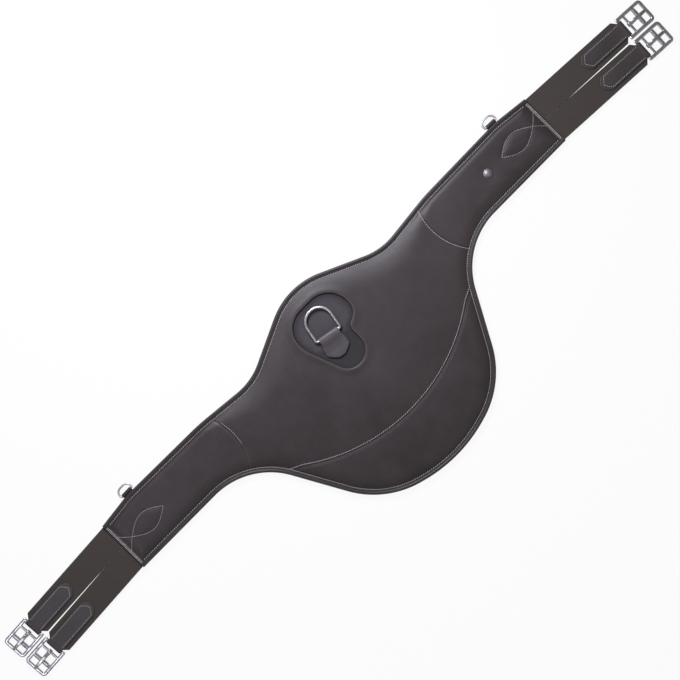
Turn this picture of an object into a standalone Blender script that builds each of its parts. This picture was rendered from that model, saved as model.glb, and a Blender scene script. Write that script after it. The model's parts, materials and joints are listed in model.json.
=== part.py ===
"""Saddle girth of the belly-guard kind, as separate pieces.

Metres, +Z up. X runs along the girth, +Y is the front edge, -Y the belly guard.
The lining's flat underside lies on Z = 0 and the origin is on it, at mid length.
"""
import math

import bmesh
import bpy
from mathutils import Matrix, Vector
from mathutils.geometry import delaunay_2d_cdt

for old in list(bpy.data.objects):
    bpy.data.objects.remove(old, do_unlink=True)

MM = 0.001

# Clearance between pieces that touch, and the sag allowed on a round outline
FIT = 0.3 * MM
SAG = 0.35 * MM

# Outline of the whole rim, right half: corner points and the radii that round them
WING_END = 431.0 * MM
BUMP_Y = 95.0 * MM
BUMP_R = 112.0 * MM
HOLLOW_X = 132.8 * MM
HOLLOW_Y = 33.9 * MM
HOLLOW_R = 95.0 * MM
WING_X = 230.0 * MM
WING_Y = 44.0 * MM
WING_R = 300.0 * MM
TAB_CORNER_X = 375.0 * MM
TAB_CORNER_Y = 46.2 * MM
TAB_CORNER_R = 120.0 * MM
END_FRONT_Y = 39.6 * MM
BELLY_Y = -259.6 * MM
BELLY_R = 221.7 * MM
FLANK_X = 120.2 * MM
FLANK_Y = -225.9 * MM
FLANK_R = 136.9 * MM
SHOULDER_X = 219.9 * MM
SHOULDER_Y = -44.6 * MM
SHOULDER_R = 111.8 * MM
END_REAR_Y = -44.4 * MM

# Leather layers
LINING_T = 1.8 * MM
PANEL_T = 2.2 * MM
BINDING_T = 1.2 * MM
BINDING_LIP = 5.0 * MM
CROWN = 3.8 * MM
FLANGE = 6.0 * MM
CROWN_RUN = 16.0 * MM
LINING_RUN = 8.0 * MM
SEAM_DIP = 0.9 * MM
SEAM_RUN = 5.0 * MM
CORE_INSET = 8.0 * MM
CORE_PLAY = 0.8 * MM

# Seams of the outer leather: two round wing seams and the long guard seam
WING_SEAM_X = 296.5 * MM
WING_SEAM_Y = 2.0 * MM
WING_SEAM_R = 91.0 * MM
GUARD_SEAM_LOW = -159.0 * MM
GUARD_SEAM_R = 282.0 * MM
GUARD_SEAM_X = 166.0 * MM
GUARD_SEAM_END_X = 206.0 * MM
GUARD_SEAM_END_Y = -86.0 * MM

# Load webbing inside
WEBBING_W = 44.0 * MM
WEBBING_T = 1.2 * MM
WEBBING_Y = -3.0 * MM

# Window for the centre ring, its floor and its ring
WINDOW_DEPTH = 3.6 * MM
WINDOW_LEFT = -46.0 * MM
WINDOW_RIGHT = 45.5 * MM
WINDOW_TOP = 54.0 * MM
WINDOW_STEP_Y = -4.5 * MM
WINDOW_TAIL_LEFT = -21.0 * MM
WINDOW_TAIL_RIGHT = 21.0 * MM
WINDOW_BOTTOM = -57.5 * MM
BASE_T = 2.0 * MM
BASE_LAP = 9.0 * MM
RING_X = -7.0 * MM
RING_BAR_Y = 1.6 * MM
RING_TURN = math.radians(-11.0)
RING_WIRE = 4.8 * MM
RING_W = 45.6 * MM
RING_H = 48.2 * MM
RING_CHAPE_T = 1.7 * MM
RING_CHAPE_L = 35.0 * MM
RING_CHAPE_FLARE = 2.4 * MM

# Side rings on the front edge
SIDE_RING_X = 372.0 * MM
SIDE_RING_WIRE = 3.0 * MM
SIDE_RING_W = 25.0 * MM
SIDE_RING_H = 12.4 * MM
TAB_T = 1.0 * MM
TAB_DEPTH = 7.0 * MM

# Stud on the right wing
STUD_X = 318.0 * MM
STUD_Y = 2.0 * MM
STUD_D = 13.0 * MM
STUD_H = 3.2 * MM
STUD_POST_D = 4.0 * MM
WASHER_D = 11.0 * MM
WASHER_T = 0.9 * MM

# Elastic ends
END_TILT = math.radians(3.3)
END_Y = -2.6 * MM
FOLD_OUT = 6.0 * MM
ROOT_TAIL = 34.0 * MM
WEB_W = 39.5 * MM
WEB_GAP = 1.4 * MM
WEB_T = 2.4 * MM
HEEL_U = 166.7 * MM
WEB_END_GAP = 4.2 * MM
WEB_END_CUT = 5.5 * MM

# Buckles: four bars, counted outwards from the heel bar
BAR_D = 4.0 * MM
TONGUE_BAR_U = 10.5 * MM
ROLLER_BAR_U = 27.3 * MM
FRAME_END_U = 44.4 * MM
FRAME_W = 38.0 * MM
RAIL_W = 5.4 * MM
END_BAR_W = 6.0 * MM
FRAME_T = 4.2 * MM
FRAME_CORNER_R = 4.0 * MM
FRAME_EDGE = 0.8 * MM
ROLLER_D = 6.8 * MM
ROLLER_PLAY = 0.5 * MM
TONGUE_W = 5.6 * MM
TONGUE_T = 2.4 * MM
TONGUE_EYE_T = 1.3 * MM
CHAPE_T = 1.7 * MM
CHAPE_PLAY = 0.5 * MM
CHAPE_L = 80.5 * MM
CHAPE_POINT = 9.0 * MM

# Heights that follow from the layers
LIFT = BINDING_T + FIT
LINING_EDGE_TOP = LIFT + LINING_T
WEBBING_LOW = LINING_T + FIT
WEBBING_TOP = WEBBING_LOW + WEBBING_T
WEB_LOW = max(LINING_EDGE_TOP, WEBBING_TOP) + FIT
WEB_TOP = WEB_LOW + WEB_T
WEB_MID = WEB_LOW + WEB_T / 2
PANEL_EDGE = WEB_TOP + FIT
PANEL_FLAT = PANEL_EDGE + CROWN
BODY_TOP = PANEL_FLAT + PANEL_T
BASE_TOP = BODY_TOP - WINDOW_DEPTH
BASE_LOW = BASE_TOP - BASE_T
RIM_TOP = PANEL_EDGE + PANEL_T


def material(name, colour, metal, rough):
    made = bpy.data.materials.new(name)
    made.use_nodes = True
    shader = made.node_tree.nodes["Principled BSDF"]
    shader.inputs["Base Color"].default_value = (*colour, 1)
    shader.inputs["Metallic"].default_value = metal
    shader.inputs["Roughness"].default_value = rough
    return made


LEATHER = (0.062, 0.047, 0.043)
LINER = (0.085, 0.06, 0.05)
ELASTIC = (0.05, 0.042, 0.036)
FOAM = (0.3, 0.28, 0.24)
STEEL = (0.72, 0.72, 0.73)


def finish(name, bm, colour, metal=0.0, rough=0.5, place=None):
    """Turn a bmesh into a named object with its own material."""
    bmesh.ops.remove_doubles(bm, verts=bm.verts, dist=1e-7)
    bmesh.ops.triangulate(bm, faces=bm.faces)
    bmesh.ops.recalc_face_normals(bm, faces=bm.faces)
    mesh = bpy.data.meshes.new(name)
    bm.to_mesh(mesh)
    bm.free()
    thing = bpy.data.objects.new(name, mesh)
    bpy.context.collection.objects.link(thing)
    mesh.materials.append(material(name, colour, metal, rough))
    if place is not None:
        thing.matrix_world = place
    return thing


def arc_steps(radius, turn):
    bend = 2 * math.acos(max(0.0, 1 - SAG / max(radius, 2 * SAG)))
    return max(2, math.ceil(abs(turn) / bend))


def fillet(before, corner, after, radius):
    """Points of the arc that rounds one corner."""
    u = (before - corner).normalized()
    v = (after - corner).normalized()
    turn = math.pi - u.angle(v)
    reach = radius * math.tan(turn / 2)
    centre = corner + (u + v).normalized() * radius / math.cos(turn / 2)
    start = corner + u * reach - centre
    side = 1 if u.x * v.y - u.y * v.x < 0 else -1
    count = arc_steps(radius, turn)
    points = []
    for k in range(count + 1):
        a = side * turn * k / count
        c, s = math.cos(a), math.sin(a)
        points.append(centre + Vector((start.x * c - start.y * s, start.x * s + start.y * c)))
    return points


def rounded(corners, radii, closed=False):
    corners = [Vector(c) for c in corners]
    count = len(corners)
    out = []
    for i, corner in enumerate(corners):
        if not closed and i in (0, count - 1):
            out.append(corner)
        elif radii[i] <= 0:
            out.append(corner)
        else:
            out += fillet(corners[i - 1], corner, corners[(i + 1) % count], radii[i])
    return out


def shift(line, d, closed=False):
    """Parallel line, d to the left of its own direction."""
    count = len(line)
    out = []
    for i, p in enumerate(line):
        a = line[i - 1] if i or closed else None
        b = line[(i + 1) % count] if i < count - 1 or closed else None
        normals = []
        if a is not None:
            e = (p - a).normalized()
            normals.append(Vector((-e.y, e.x)))
        if b is not None:
            e = (b - p).normalized()
            normals.append(Vector((-e.y, e.x)))
        n = sum(normals, Vector((0, 0))).normalized()
        out.append(p + n * d / max(0.3, n.dot(normals[0])))
    return out


def distance(line, p):
    best = 1e9
    for a, b in zip(line, line[1:]):
        ab = b - a
        t = min(1.0, max(0.0, (p - a).dot(ab) / max(ab.dot(ab), 1e-18)))
        best = min(best, (a + ab * t - p).length)
    return best


def inside(poly, p):
    hit = False
    for a, b in zip(poly, poly[1:] + poly[:1]):
        if (a.y > p.y) != (b.y > p.y) and p.x < a.x + (p.y - a.y) * (b.x - a.x) / (b.y - a.y):
            hit = not hit
    return hit


def mesh_plane(loops, creases):
    """Constrained triangulation of closed loops and open crease lines."""
    points = []
    edges = []
    for line, closed in [(c, True) for c in loops] + [(c, False) for c in creases]:
        first = len(points)
        points += [Vector((p.x, p.y)) for p in line]
        edges += [(first + k, first + k + 1) for k in range(len(line) - 1)]
        if closed:
            edges.append((len(points) - 1, first))
    made = delaunay_2d_cdt(points, edges, [], 0, 1e-7)
    return made[0], made[2]


def solid(points, faces, keep, low, high):
    """Closed bmesh between two height functions, over the faces whose middle is kept."""
    bm = bmesh.new()
    top = {}
    under = {}
    used = {}
    for face in faces:
        mid = sum((points[i] for i in face), Vector((0, 0))) / len(face)
        if not keep(mid):
            continue
        for i in face:
            if i not in top:
                p = points[i]
                top[i] = bm.verts.new((p.x, p.y, high(p)))
                under[i] = bm.verts.new((p.x, p.y, low(p)))
        bm.faces.new([top[i] for i in face])
        bm.faces.new([under[i] for i in reversed(face)])
        for k, i in enumerate(face):
            j = face[(k + 1) % len(face)]
            if (j, i) in used:
                del used[(j, i)]
            else:
                used[(i, j)] = True
    for i, j in used:
        bm.faces.new([top[j], top[i], under[i], under[j]])
    return bm


def plate(loops, creases, low, high):
    points, faces = mesh_plane(loops, creases)

    def keep(p):
        return inside(loops[0], p) and not any(inside(hole, p) for hole in loops[1:])

    return solid(points, faces, keep, low, high)


def flat(z):
    return lambda p: z


def strip(path, widths, thickness):
    """Band of leather along a path in the (u, w) plane, each point with its own half width in v."""
    bm = bmesh.new()
    rings = []
    count = len(path)
    for i, p in enumerate(path):
        a = path[max(0, i - 1)]
        b = path[min(count - 1, i + 1)]
        before = (p - a).normalized() if i else (b - p).normalized()
        after = (b - p).normalized() if i < count - 1 else before
        along = (before + after).normalized()
        n = Vector((-along.y, along.x)) * thickness / 2 / max(0.5, along.dot(before))
        ring = []
        for side, face in ((-1, -1), (1, -1), (1, 1), (-1, 1)):
            q = p + n * face
            ring.append(bm.verts.new((q.x, side * widths[i], q.y)))
        rings.append(ring)
    for one, two in zip(rings, rings[1:]):
        for k in range(4):
            bm.faces.new((one[k], one[(k + 1) % 4], two[(k + 1) % 4], two[k]))
    bm.faces.new(list(reversed(rings[0])))
    bm.faces.new(rings[-1])
    return bm


def wire_loop(path, radius, sides):
    """Round wire along a closed flat path."""
    bm = bmesh.new()
    rings = []
    count = len(path)
    for i, p in enumerate(path):
        before = (p - path[i - 1]).normalized()
        after = (path[(i + 1) % count] - p).normalized()
        along = (before + after).normalized()
        n = Vector((-along.y, along.x)) / max(0.5, along.dot(before))
        ring = []
        for k in range(sides):
            a = 2 * math.pi * (k + 0.5) / sides
            q = p + n * radius * math.cos(a)
            ring.append(bm.verts.new((q.x, q.y, radius * math.sin(a))))
        rings.append(ring)
    for i in range(count):
        one, two = rings[i], rings[(i + 1) % count]
        for k in range(sides):
            bm.faces.new((one[k], two[k], two[(k + 1) % sides], one[(k + 1) % sides]))
    return bm


def turned(profile, sides, hollow=False):
    """Solid of revolution about the local Z axis from (radius, height) points, bottom to top."""
    bm = bmesh.new()
    rings = []
    for r, z in profile:
        ring = []
        for k in range(sides):
            a = 2 * math.pi * k / sides
            ring.append(bm.verts.new((r * math.cos(a), r * math.sin(a), z)))
        rings.append(ring)
    pairs = list(zip(rings, rings[1:]))
    if hollow:
        pairs.append((rings[-1], rings[0]))
    for one, two in pairs:
        for k in range(sides):
            bm.faces.new((one[k], one[(k + 1) % sides], two[(k + 1) % sides], two[k]))
    if not hollow:
        bm.faces.new(list(reversed(rings[0])))
        bm.faces.new(rings[-1])
    return bm


def boolean(target, other, kind):
    step = target.modifiers.new(kind, "BOOLEAN")
    step.operation = kind
    step.solver = "EXACT"
    step.object = other
    other.display_type = "WIRE"
    graph = bpy.context.evaluated_depsgraph_get()
    done = bpy.data.meshes.new_from_object(target.evaluated_get(graph))
    target.modifiers.clear()
    kept = target.data.materials[0]
    target.data = done
    done.materials.clear()
    done.materials.append(kept)
    bpy.data.objects.remove(other, do_unlink=True)
    bm = bmesh.new()
    bm.from_mesh(done)
    bmesh.ops.dissolve_limit(bm, angle_limit=0.002, verts=bm.verts, edges=bm.edges)
    bmesh.ops.triangulate(bm, faces=bm.faces)
    bm.to_mesh(done)
    bm.free()


# Outline, left to right along both long edges
def mirrored(corners, radii):
    left = [(-x, y) for x, y in reversed(corners[1:])]
    return rounded(left + corners, list(reversed(radii[1:])) + radii)


def square_ends(line):
    """Bring the two ends of an edge back to the wing ends."""
    for i, j in ((0, 1), (-1, -2)):
        x = math.copysign(WING_END, line[i].x)
        line[i] = line[j].lerp(line[i], (x - line[j].x) / (line[i].x - line[j].x))
    return line


RIM = FIT + BINDING_T
RIM_FRONT = mirrored(
    [
        (0, BUMP_Y),
        (HOLLOW_X, HOLLOW_Y),
        (WING_X, WING_Y),
        (TAB_CORNER_X, TAB_CORNER_Y),
        (WING_END, END_FRONT_Y),
    ],
    [BUMP_R, HOLLOW_R, WING_R, TAB_CORNER_R, 0],
)
RIM_REAR = mirrored(
    [(0, BELLY_Y), (FLANK_X, FLANK_Y), (SHOULDER_X, SHOULDER_Y), (WING_END, END_REAR_Y)],
    [BELLY_R, FLANK_R, SHOULDER_R, 0],
)
FRONT = square_ends(shift(RIM_FRONT, -RIM))
REAR = square_ends(shift(RIM_REAR, RIM))
BODY = REAR + list(reversed(FRONT))


def from_edge(p):
    return min(distance(FRONT, p), distance(REAR, p))


def ramp(d, start, run):
    """0 up to start, rising in two straight steps, 1 from start + run."""
    t = (d - start) / run
    if t <= 0:
        return 0.0
    if t >= 1:
        return 1.0
    return t * 1.4 if t < 0.45 else 0.63 + (t - 0.45) * 0.37 / 0.55


def edge_lines(depths):
    lines = []
    for d in depths:
        lines.append(shift(FRONT, -d))
        lines.append(shift(REAR, d))
    return lines


def end_lines(depths):
    lines = []
    for d in depths:
        for side in (-1, 1):
            x = side * (WING_END - d)
            lines.append([Vector((x, -0.2)), Vector((x, 0.2))])
    return lines


def wing_seam(side):
    """Round seam between the main panel and one wing, bowed towards the middle."""
    reach = math.radians(52)
    count = 2 * arc_steps(WING_SEAM_R, reach)
    line = []
    for k in range(count + 1):
        a = math.pi - reach + 2 * reach * k / count
        x = WING_SEAM_X + WING_SEAM_R * math.cos(a)
        line.append(Vector((side * x, WING_SEAM_Y + WING_SEAM_R * math.sin(a))))
    return line if side > 0 else line[::-1]


def guard_seam():
    """Long round seam above the belly guard, running out to the edge at both ends."""
    centre = Vector((0, GUARD_SEAM_LOW + GUARD_SEAM_R))
    reach = math.asin(GUARD_SEAM_X / GUARD_SEAM_R)
    count = 2 * arc_steps(GUARD_SEAM_R, reach)
    line = [Vector((-GUARD_SEAM_END_X, GUARD_SEAM_END_Y))]
    for k in range(count + 1):
        a = -math.pi / 2 - reach + 2 * reach * k / count
        line.append(centre + Vector((GUARD_SEAM_R * math.cos(a), GUARD_SEAM_R * math.sin(a))))
    return line + [Vector((GUARD_SEAM_END_X, GUARD_SEAM_END_Y))]


LEFT_SEAM = wing_seam(-1)
RIGHT_SEAM = wing_seam(1)
GUARD_SEAM = guard_seam()
SEAMS = [LEFT_SEAM, RIGHT_SEAM, GUARD_SEAM]


def seam_gap(p):
    """Distance from the nearest seam of the outer leather."""
    return min(distance(line, p) for line in SEAMS)


RAMP_STEPS = [FLANGE, FLANGE + 0.45 * CROWN_RUN, FLANGE + CROWN_RUN]


def panel_under(p):
    rise = ramp(min(from_edge(p), WING_END - abs(p.x)), FLANGE, CROWN_RUN)
    dip = SEAM_DIP * max(0.0, 1 - seam_gap(p) / SEAM_RUN)
    return PANEL_EDGE + rise * (CROWN - dip)


def panel_top(p):
    return panel_under(p) + PANEL_T


def lining_under(p):
    t = (from_edge(p) - FLANGE) / LINING_RUN
    return LIFT * (1 - min(1.0, max(0.0, t)))


WINDOW = rounded(
    [
        (WINDOW_LEFT, WINDOW_TOP),
        (WINDOW_LEFT, 10 * MM),
        (WINDOW_TAIL_LEFT, WINDOW_BOTTOM),
        (WINDOW_TAIL_RIGHT, WINDOW_BOTTOM),
        (WINDOW_TAIL_RIGHT, WINDOW_STEP_Y - 6 * MM),
        (WINDOW_RIGHT, WINDOW_STEP_Y + 6.5 * MM),
        (WINDOW_RIGHT, WINDOW_TOP),
    ],
    [34 * MM, 50 * MM, 22 * MM, 25 * MM, 14 * MM, 20 * MM, 36 * MM],
    closed=True,
)


def circle(x, y, r, count):
    return [
        Vector((x + r * math.cos(2 * math.pi * k / count), y + r * math.sin(2 * math.pi * k / count)))
        for k in range(count)
    ]


STUD_HOLE = circle(STUD_X, STUD_Y, STUD_POST_D / 2 + FIT, 12)

# Outer leather: one triangulation, shared out between the four panels
seams = [shift(line, d) for line in SEAMS for d in (-SEAM_RUN, -FIT / 2, FIT / 2, SEAM_RUN)]
creases = edge_lines(RAMP_STEPS) + end_lines(RAMP_STEPS) + seams
sheet_points, sheet_faces = mesh_plane([BODY, WINDOW, STUD_HOLE], creases)
FAR = 2 * WING_END


def beyond(line, side):
    """Area on the outer side of a wing seam."""
    return line + [Vector((side * FAR, line[-1].y)), Vector((side * FAR, line[0].y))]


def above(line):
    right = [Vector((FAR, line[-1].y)), Vector((FAR, FAR))]
    return line + right + [Vector((-FAR, FAR)), Vector((-FAR, line[0].y))]


LEFT_WING = beyond(shift(LEFT_SEAM, FIT / 2), -1)
RIGHT_WING = beyond(shift(RIGHT_SEAM, FIT / 2), 1)
NOT_LEFT = beyond(shift(LEFT_SEAM, -FIT / 2), -1)
NOT_RIGHT = beyond(shift(RIGHT_SEAM, -FIT / 2), 1)
UPPER = above(shift(GUARD_SEAM, FIT / 2))
NOT_GUARD = above(shift(GUARD_SEAM, -FIT / 2))


def in_left(p):
    return inside(BODY, p) and inside(LEFT_WING, p)


def in_right(p):
    return inside(BODY, p) and inside(RIGHT_WING, p) and not inside(STUD_HOLE, p)


def in_middle(p):
    return inside(BODY, p) and not inside(NOT_LEFT, p) and not inside(NOT_RIGHT, p)


def in_main(p):
    return in_middle(p) and inside(UPPER, p) and not inside(WINDOW, p)


def in_guard(p):
    return in_middle(p) and not inside(NOT_GUARD, p)


finish("main_panel", solid(sheet_points, sheet_faces, in_main, panel_under, panel_top), LEATHER)
finish("guard_panel", solid(sheet_points, sheet_faces, in_guard, panel_under, panel_top), LEATHER)
finish("left_wing_panel", solid(sheet_points, sheet_faces, in_left, panel_under, panel_top), LEATHER)
finish("right_wing_panel", solid(sheet_points, sheet_faces, in_right, panel_under, panel_top), LEATHER)

# Lining
creases = edge_lines([FLANGE, FLANGE + LINING_RUN])
finish("lining", plate([BODY], creases, lining_under, lambda p: lining_under(p) + LINING_T), LINER)

# Load webbing, straight from wing end to wing end
half = WEBBING_W / 2
webbing_x = WING_END - 4 * MM
corners = ((-webbing_x, -half), (webbing_x, -half), (webbing_x, half), (-webbing_x, half))
webbing_loop = [Vector((x, WEBBING_Y + y)) for x, y in corners]
finish("load_webbing", plate([webbing_loop], [], flat(WEBBING_LOW), flat(WEBBING_TOP)), ELASTIC)

# Foam core on the webbing, with pockets above for the ring base and the stud washer
core_x = WING_END - ROOT_TAIL - 3 * MM
core_front = [p for p in shift(FRONT, -CORE_INSET) if abs(p.x) < core_x - 1 * MM]
core_rear = [p for p in shift(REAR, CORE_INSET) if abs(p.x) < core_x - 1 * MM]


def at_x(line, x):
    for a, b in zip(line, line[1:]):
        if a.x <= x <= b.x:
            return a.lerp(b, (x - a.x) / (b.x - a.x))
    return line[-1]


core_loop = [at_x(shift(REAR, CORE_INSET), -core_x)] + core_rear + [at_x(shift(REAR, CORE_INSET), core_x)]
core_loop += [at_x(shift(FRONT, -CORE_INSET), core_x)] + list(reversed(core_front))
core_loop += [at_x(shift(FRONT, -CORE_INSET), -core_x)]
BASE = shift(WINDOW, -BASE_LAP, True)
POCKET = shift(WINDOW, -BASE_LAP - FIT - 0.2 * MM, True)
POCKET_RIM = shift(WINDOW, -BASE_LAP - 1.5 * MM, True)
WASHER_POCKET = circle(STUD_X, STUD_Y, WASHER_D / 2 + 0.5 * MM, 14)
WASHER_RIM = circle(STUD_X, STUD_Y, WASHER_D / 2 + 1.5 * MM, 14)


def core_top(p):
    z = panel_under(p) - CORE_PLAY
    if inside(POCKET, p) or distance(POCKET + POCKET[:1], p) < 1e-5:
        return min(z, BASE_LOW - FIT)
    if (p - Vector((STUD_X, STUD_Y))).length < WASHER_D / 2 + 0.6 * MM:
        return z - WASHER_T - FIT
    return z


seam_lines = [shift(line, d) for line in SEAMS for d in (-SEAM_RUN, 0, SEAM_RUN)]
points, faces = mesh_plane(
    [core_loop, POCKET, POCKET_RIM, WASHER_POCKET, WASHER_RIM],
    edge_lines(RAMP_STEPS[1:]) + seam_lines,
)
core = solid(points, faces, lambda p: inside(core_loop, p), flat(WEB_LOW), core_top)
finish("foam_core", core, FOAM, rough=0.9)

# Floor of the ring window
finish("ring_base", plate([BASE], [], flat(BASE_LOW), flat(BASE_TOP)), LEATHER)


# Edge bindings: a rolled rim round each long edge
def binding(name, line, outward):
    low = LIFT - FIT
    top = RIM_TOP + FIT
    out = FIT + BINDING_T
    section = [
        (-BINDING_LIP, top),
        (FIT, top),
        (FIT, low),
        (-BINDING_LIP, low),
        (-BINDING_LIP, low - BINDING_T + 0.3 * MM),
        (-BINDING_LIP + 0.8 * MM, low - BINDING_T),
        (-0.6 * MM, low - BINDING_T),
        (out - 0.5 * MM, low + 0.6 * MM),
        (out, low + 2.2 * MM),
        (out, top - 2.2 * MM),
        (out - 0.5 * MM, top - 0.6 * MM),
        (-0.6 * MM, top + BINDING_T),
        (-BINDING_LIP + 0.8 * MM, top + BINDING_T),
        (-BINDING_LIP, top + BINDING_T - 0.4 * MM),
    ]
    bm = bmesh.new()
    lines = {}
    for n, z in section:
        if n not in lines:
            lines[n] = shift(line, outward * n)
    rings = []
    for i in range(len(line)):
        ring = []
        for n, z in section:
            p = lines[n][i]
            ring.append(bm.verts.new((p.x, p.y, z)))
        rings.append(ring)
    count = len(section)
    for one, two in zip(rings, rings[1:]):
        for k in range(count):
            bm.faces.new((one[k], one[(k + 1) % count], two[(k + 1) % count], two[k]))
    bm.faces.new(list(reversed(rings[0])))
    bm.faces.new(rings[-1])
    return finish(name, bm, LEATHER, rough=0.4)


front_binding = binding("front_binding", FRONT, 1)
binding("rear_binding", REAR, -1)

# Centre ring with its folded chape
ring_in = RING_W / 2 - RING_WIRE / 2
bar_z = BASE_TOP + FIT + RING_CHAPE_T + FIT + RING_WIRE / 2
ring_place = Matrix.Translation((RING_X, RING_BAR_Y, bar_z)) @ Matrix.Rotation(RING_TURN, 4, "Z")


def dee(width, height, wire, top_r, bar_r):
    w = width / 2 - wire / 2
    h = height - wire
    return rounded([(-w, 0), (w, 0), (w, h), (-w, h)], [bar_r, bar_r, top_r, top_r], closed=True)


ring_path = dee(RING_W, RING_H, RING_WIRE, ring_in * 0.98, RING_WIRE / 2 + 0.3 * MM)
finish("centre_ring", wire_loop(ring_path, RING_WIRE / 2, 10), STEEL, 1.0, 0.25, ring_place)


chape_half = RING_W / 2 - RING_WIRE - 1.0 * MM
loop_r = RING_WIRE / 2 + FIT + RING_CHAPE_T / 2
low_w = -loop_r
high_w = low_w + RING_CHAPE_T + FIT
chape_path = [Vector((-RING_CHAPE_L * f, high_w)) for f in (1.0, 0.93, 0.8, 0.6, 0.4, 0.27)]
chape_half_widths = [chape_half * f for f in (0.3, 0.62, 0.9)]
chape_half_widths += [chape_half + RING_CHAPE_FLARE, chape_half + RING_CHAPE_FLARE, chape_half]
chape_path.append(Vector((-0.62 * loop_r - 2.2 * MM, high_w + 0.62 * (loop_r * 0.78 - high_w))))
chape_half_widths.append(chape_half)
for k in range(11):
    a = math.radians(128 - 218 * k / 10)
    chape_path.append(Vector((loop_r * math.cos(a), loop_r * math.sin(a))))
    chape_half_widths.append(chape_half)
for f, w in ((0.27, 1.0), (0.4, None), (0.6, None), (0.8, 0.9), (0.93, 0.62), (1.0, 0.3)):
    chape_path.append(Vector((-RING_CHAPE_L * f, low_w)))
    chape_half_widths.append(chape_half + RING_CHAPE_FLARE if w is None else chape_half * w)
# The path runs along local u; turn u to local +Y so that the tab points to the belly
to_belly = Matrix(((0, 1, 0, 0), (1, 0, 0, 0), (0, 0, 1, 0), (0, 0, 0, 1)))
bm = strip(chape_path, chape_half_widths, RING_CHAPE_T)
bmesh.ops.transform(bm, matrix=to_belly, verts=bm.verts)
finish("centre_ring_chape", bm, LEATHER, place=ring_place)

# Side rings, each in a tab that comes out through the front binding
tab_loop = SIDE_RING_WIRE / 2 + FIT + TAB_T / 2
tab_half = SIDE_RING_W / 2 - SIDE_RING_WIRE - 0.8 * MM
tab_leaf = FIT / 2 + TAB_T / 2
tab_out = FIT + BINDING_T + FIT + tab_loop + TAB_T / 2
rim_mid = (LINING_EDGE_TOP + PANEL_EDGE) / 2
for name, side in (("left", -1), ("right", 1)):
    spot = at_x(FRONT, side * SIDE_RING_X)
    ahead = at_x(FRONT, side * SIDE_RING_X + 2 * MM)
    along = (ahead - at_x(FRONT, side * SIDE_RING_X - 2 * MM)).normalized()
    turn = math.atan2(along.y, along.x)
    n = Vector((-along.y, along.x))
    axis = spot + n * tab_out
    place = Matrix.Translation((axis.x, axis.y, rim_mid)) @ Matrix.Rotation(turn, 4, "Z")
    path = [Vector((-tab_out - TAB_DEPTH, tab_leaf)), Vector((-tab_loop - 1.2 * MM, tab_leaf))]
    for k in range(11):
        a = math.radians(115 - 230 * k / 10)
        path.append(Vector((tab_loop * math.cos(a), tab_loop * math.sin(a))))
    path += [Vector((-tab_loop - 1.2 * MM, -tab_leaf)), Vector((-tab_out - TAB_DEPTH, -tab_leaf))]
    bm = strip(path, [tab_half] * len(path), TAB_T)
    bmesh.ops.transform(bm, matrix=to_belly, verts=bm.verts)
    finish(name + "_ring_tab", bm, LEATHER, place=place)
    height = SIDE_RING_H + SIDE_RING_WIRE / 2
    path = dee(SIDE_RING_W, height, SIDE_RING_WIRE, 8.5 * MM, SIDE_RING_WIRE / 2 + 0.3 * MM)
    finish(name + "_side_ring", wire_loop(path, SIDE_RING_WIRE / 2, 8), STEEL, 1.0, 0.25, place)
    bm = bmesh.new()
    bmesh.ops.create_cube(bm, size=1)
    size = Vector((2 * tab_half + 4 * FIT, 2 * BINDING_T + 4 * FIT, 2 * (tab_leaf + TAB_T / 2 + FIT)))
    bmesh.ops.scale(bm, vec=size, verts=bm.verts)
    bmesh.ops.translate(bm, vec=(0, FIT + BINDING_T / 2 - tab_out, 0), verts=bm.verts)
    boolean(front_binding, finish("slot", bm, LEATHER, place=place), "DIFFERENCE")

# Stud on the right wing: cap with its post, and the washer under the leather
stud_z = BODY_TOP + FIT
post_r = STUD_POST_D / 2 - FIT / 2
cap = [(post_r, PANEL_FLAT - FIT - WASHER_T - stud_z), (post_r, 0.0)]
cap += [(STUD_D / 2 - 0.4 * MM, 0.0), (STUD_D / 2, 0.5 * MM)]
for k in range(1, 5):
    a = math.radians(78 * k / 4)
    cap.append((STUD_D / 2 * math.cos(a), 0.5 * MM + (STUD_H - 0.5 * MM) * math.sin(a)))
finish("stud_cap", turned(cap, 20), STEEL, 1.0, 0.35, Matrix.Translation((STUD_X, STUD_Y, stud_z)))
hole_r = STUD_POST_D / 2 + FIT
ring = [(WASHER_D / 2, 0.0), (WASHER_D / 2, WASHER_T), (hole_r, WASHER_T), (hole_r, 0.0)]
washer_place = Matrix.Translation((STUD_X, STUD_Y, PANEL_FLAT - FIT - WASHER_T))
finish("stud_washer", turned(ring, 16, True), STEEL, 1.0, 0.4, washer_place)


# Elastic ends with their buckles
def along_v(bm):
    """Turn a shape built about Z so that its axis lies along local v."""
    bmesh.ops.rotate(bm, cent=(0, 0, 0), matrix=Matrix.Rotation(math.radians(90), 3, "X"), verts=bm.verts)
    return bm


def bar(length):
    return along_v(turned([(BAR_D / 2, -length / 2), (BAR_D / 2, length / 2)], 12))


rail_in = FRAME_W / 2 - RAIL_W
web_r = WEB_T / 2
lane = (WEB_W + WEB_GAP) / 2
frame_back = -BAR_D / 2 - 0.6 * MM
chape_w = rail_in - CHAPE_PLAY


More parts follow.
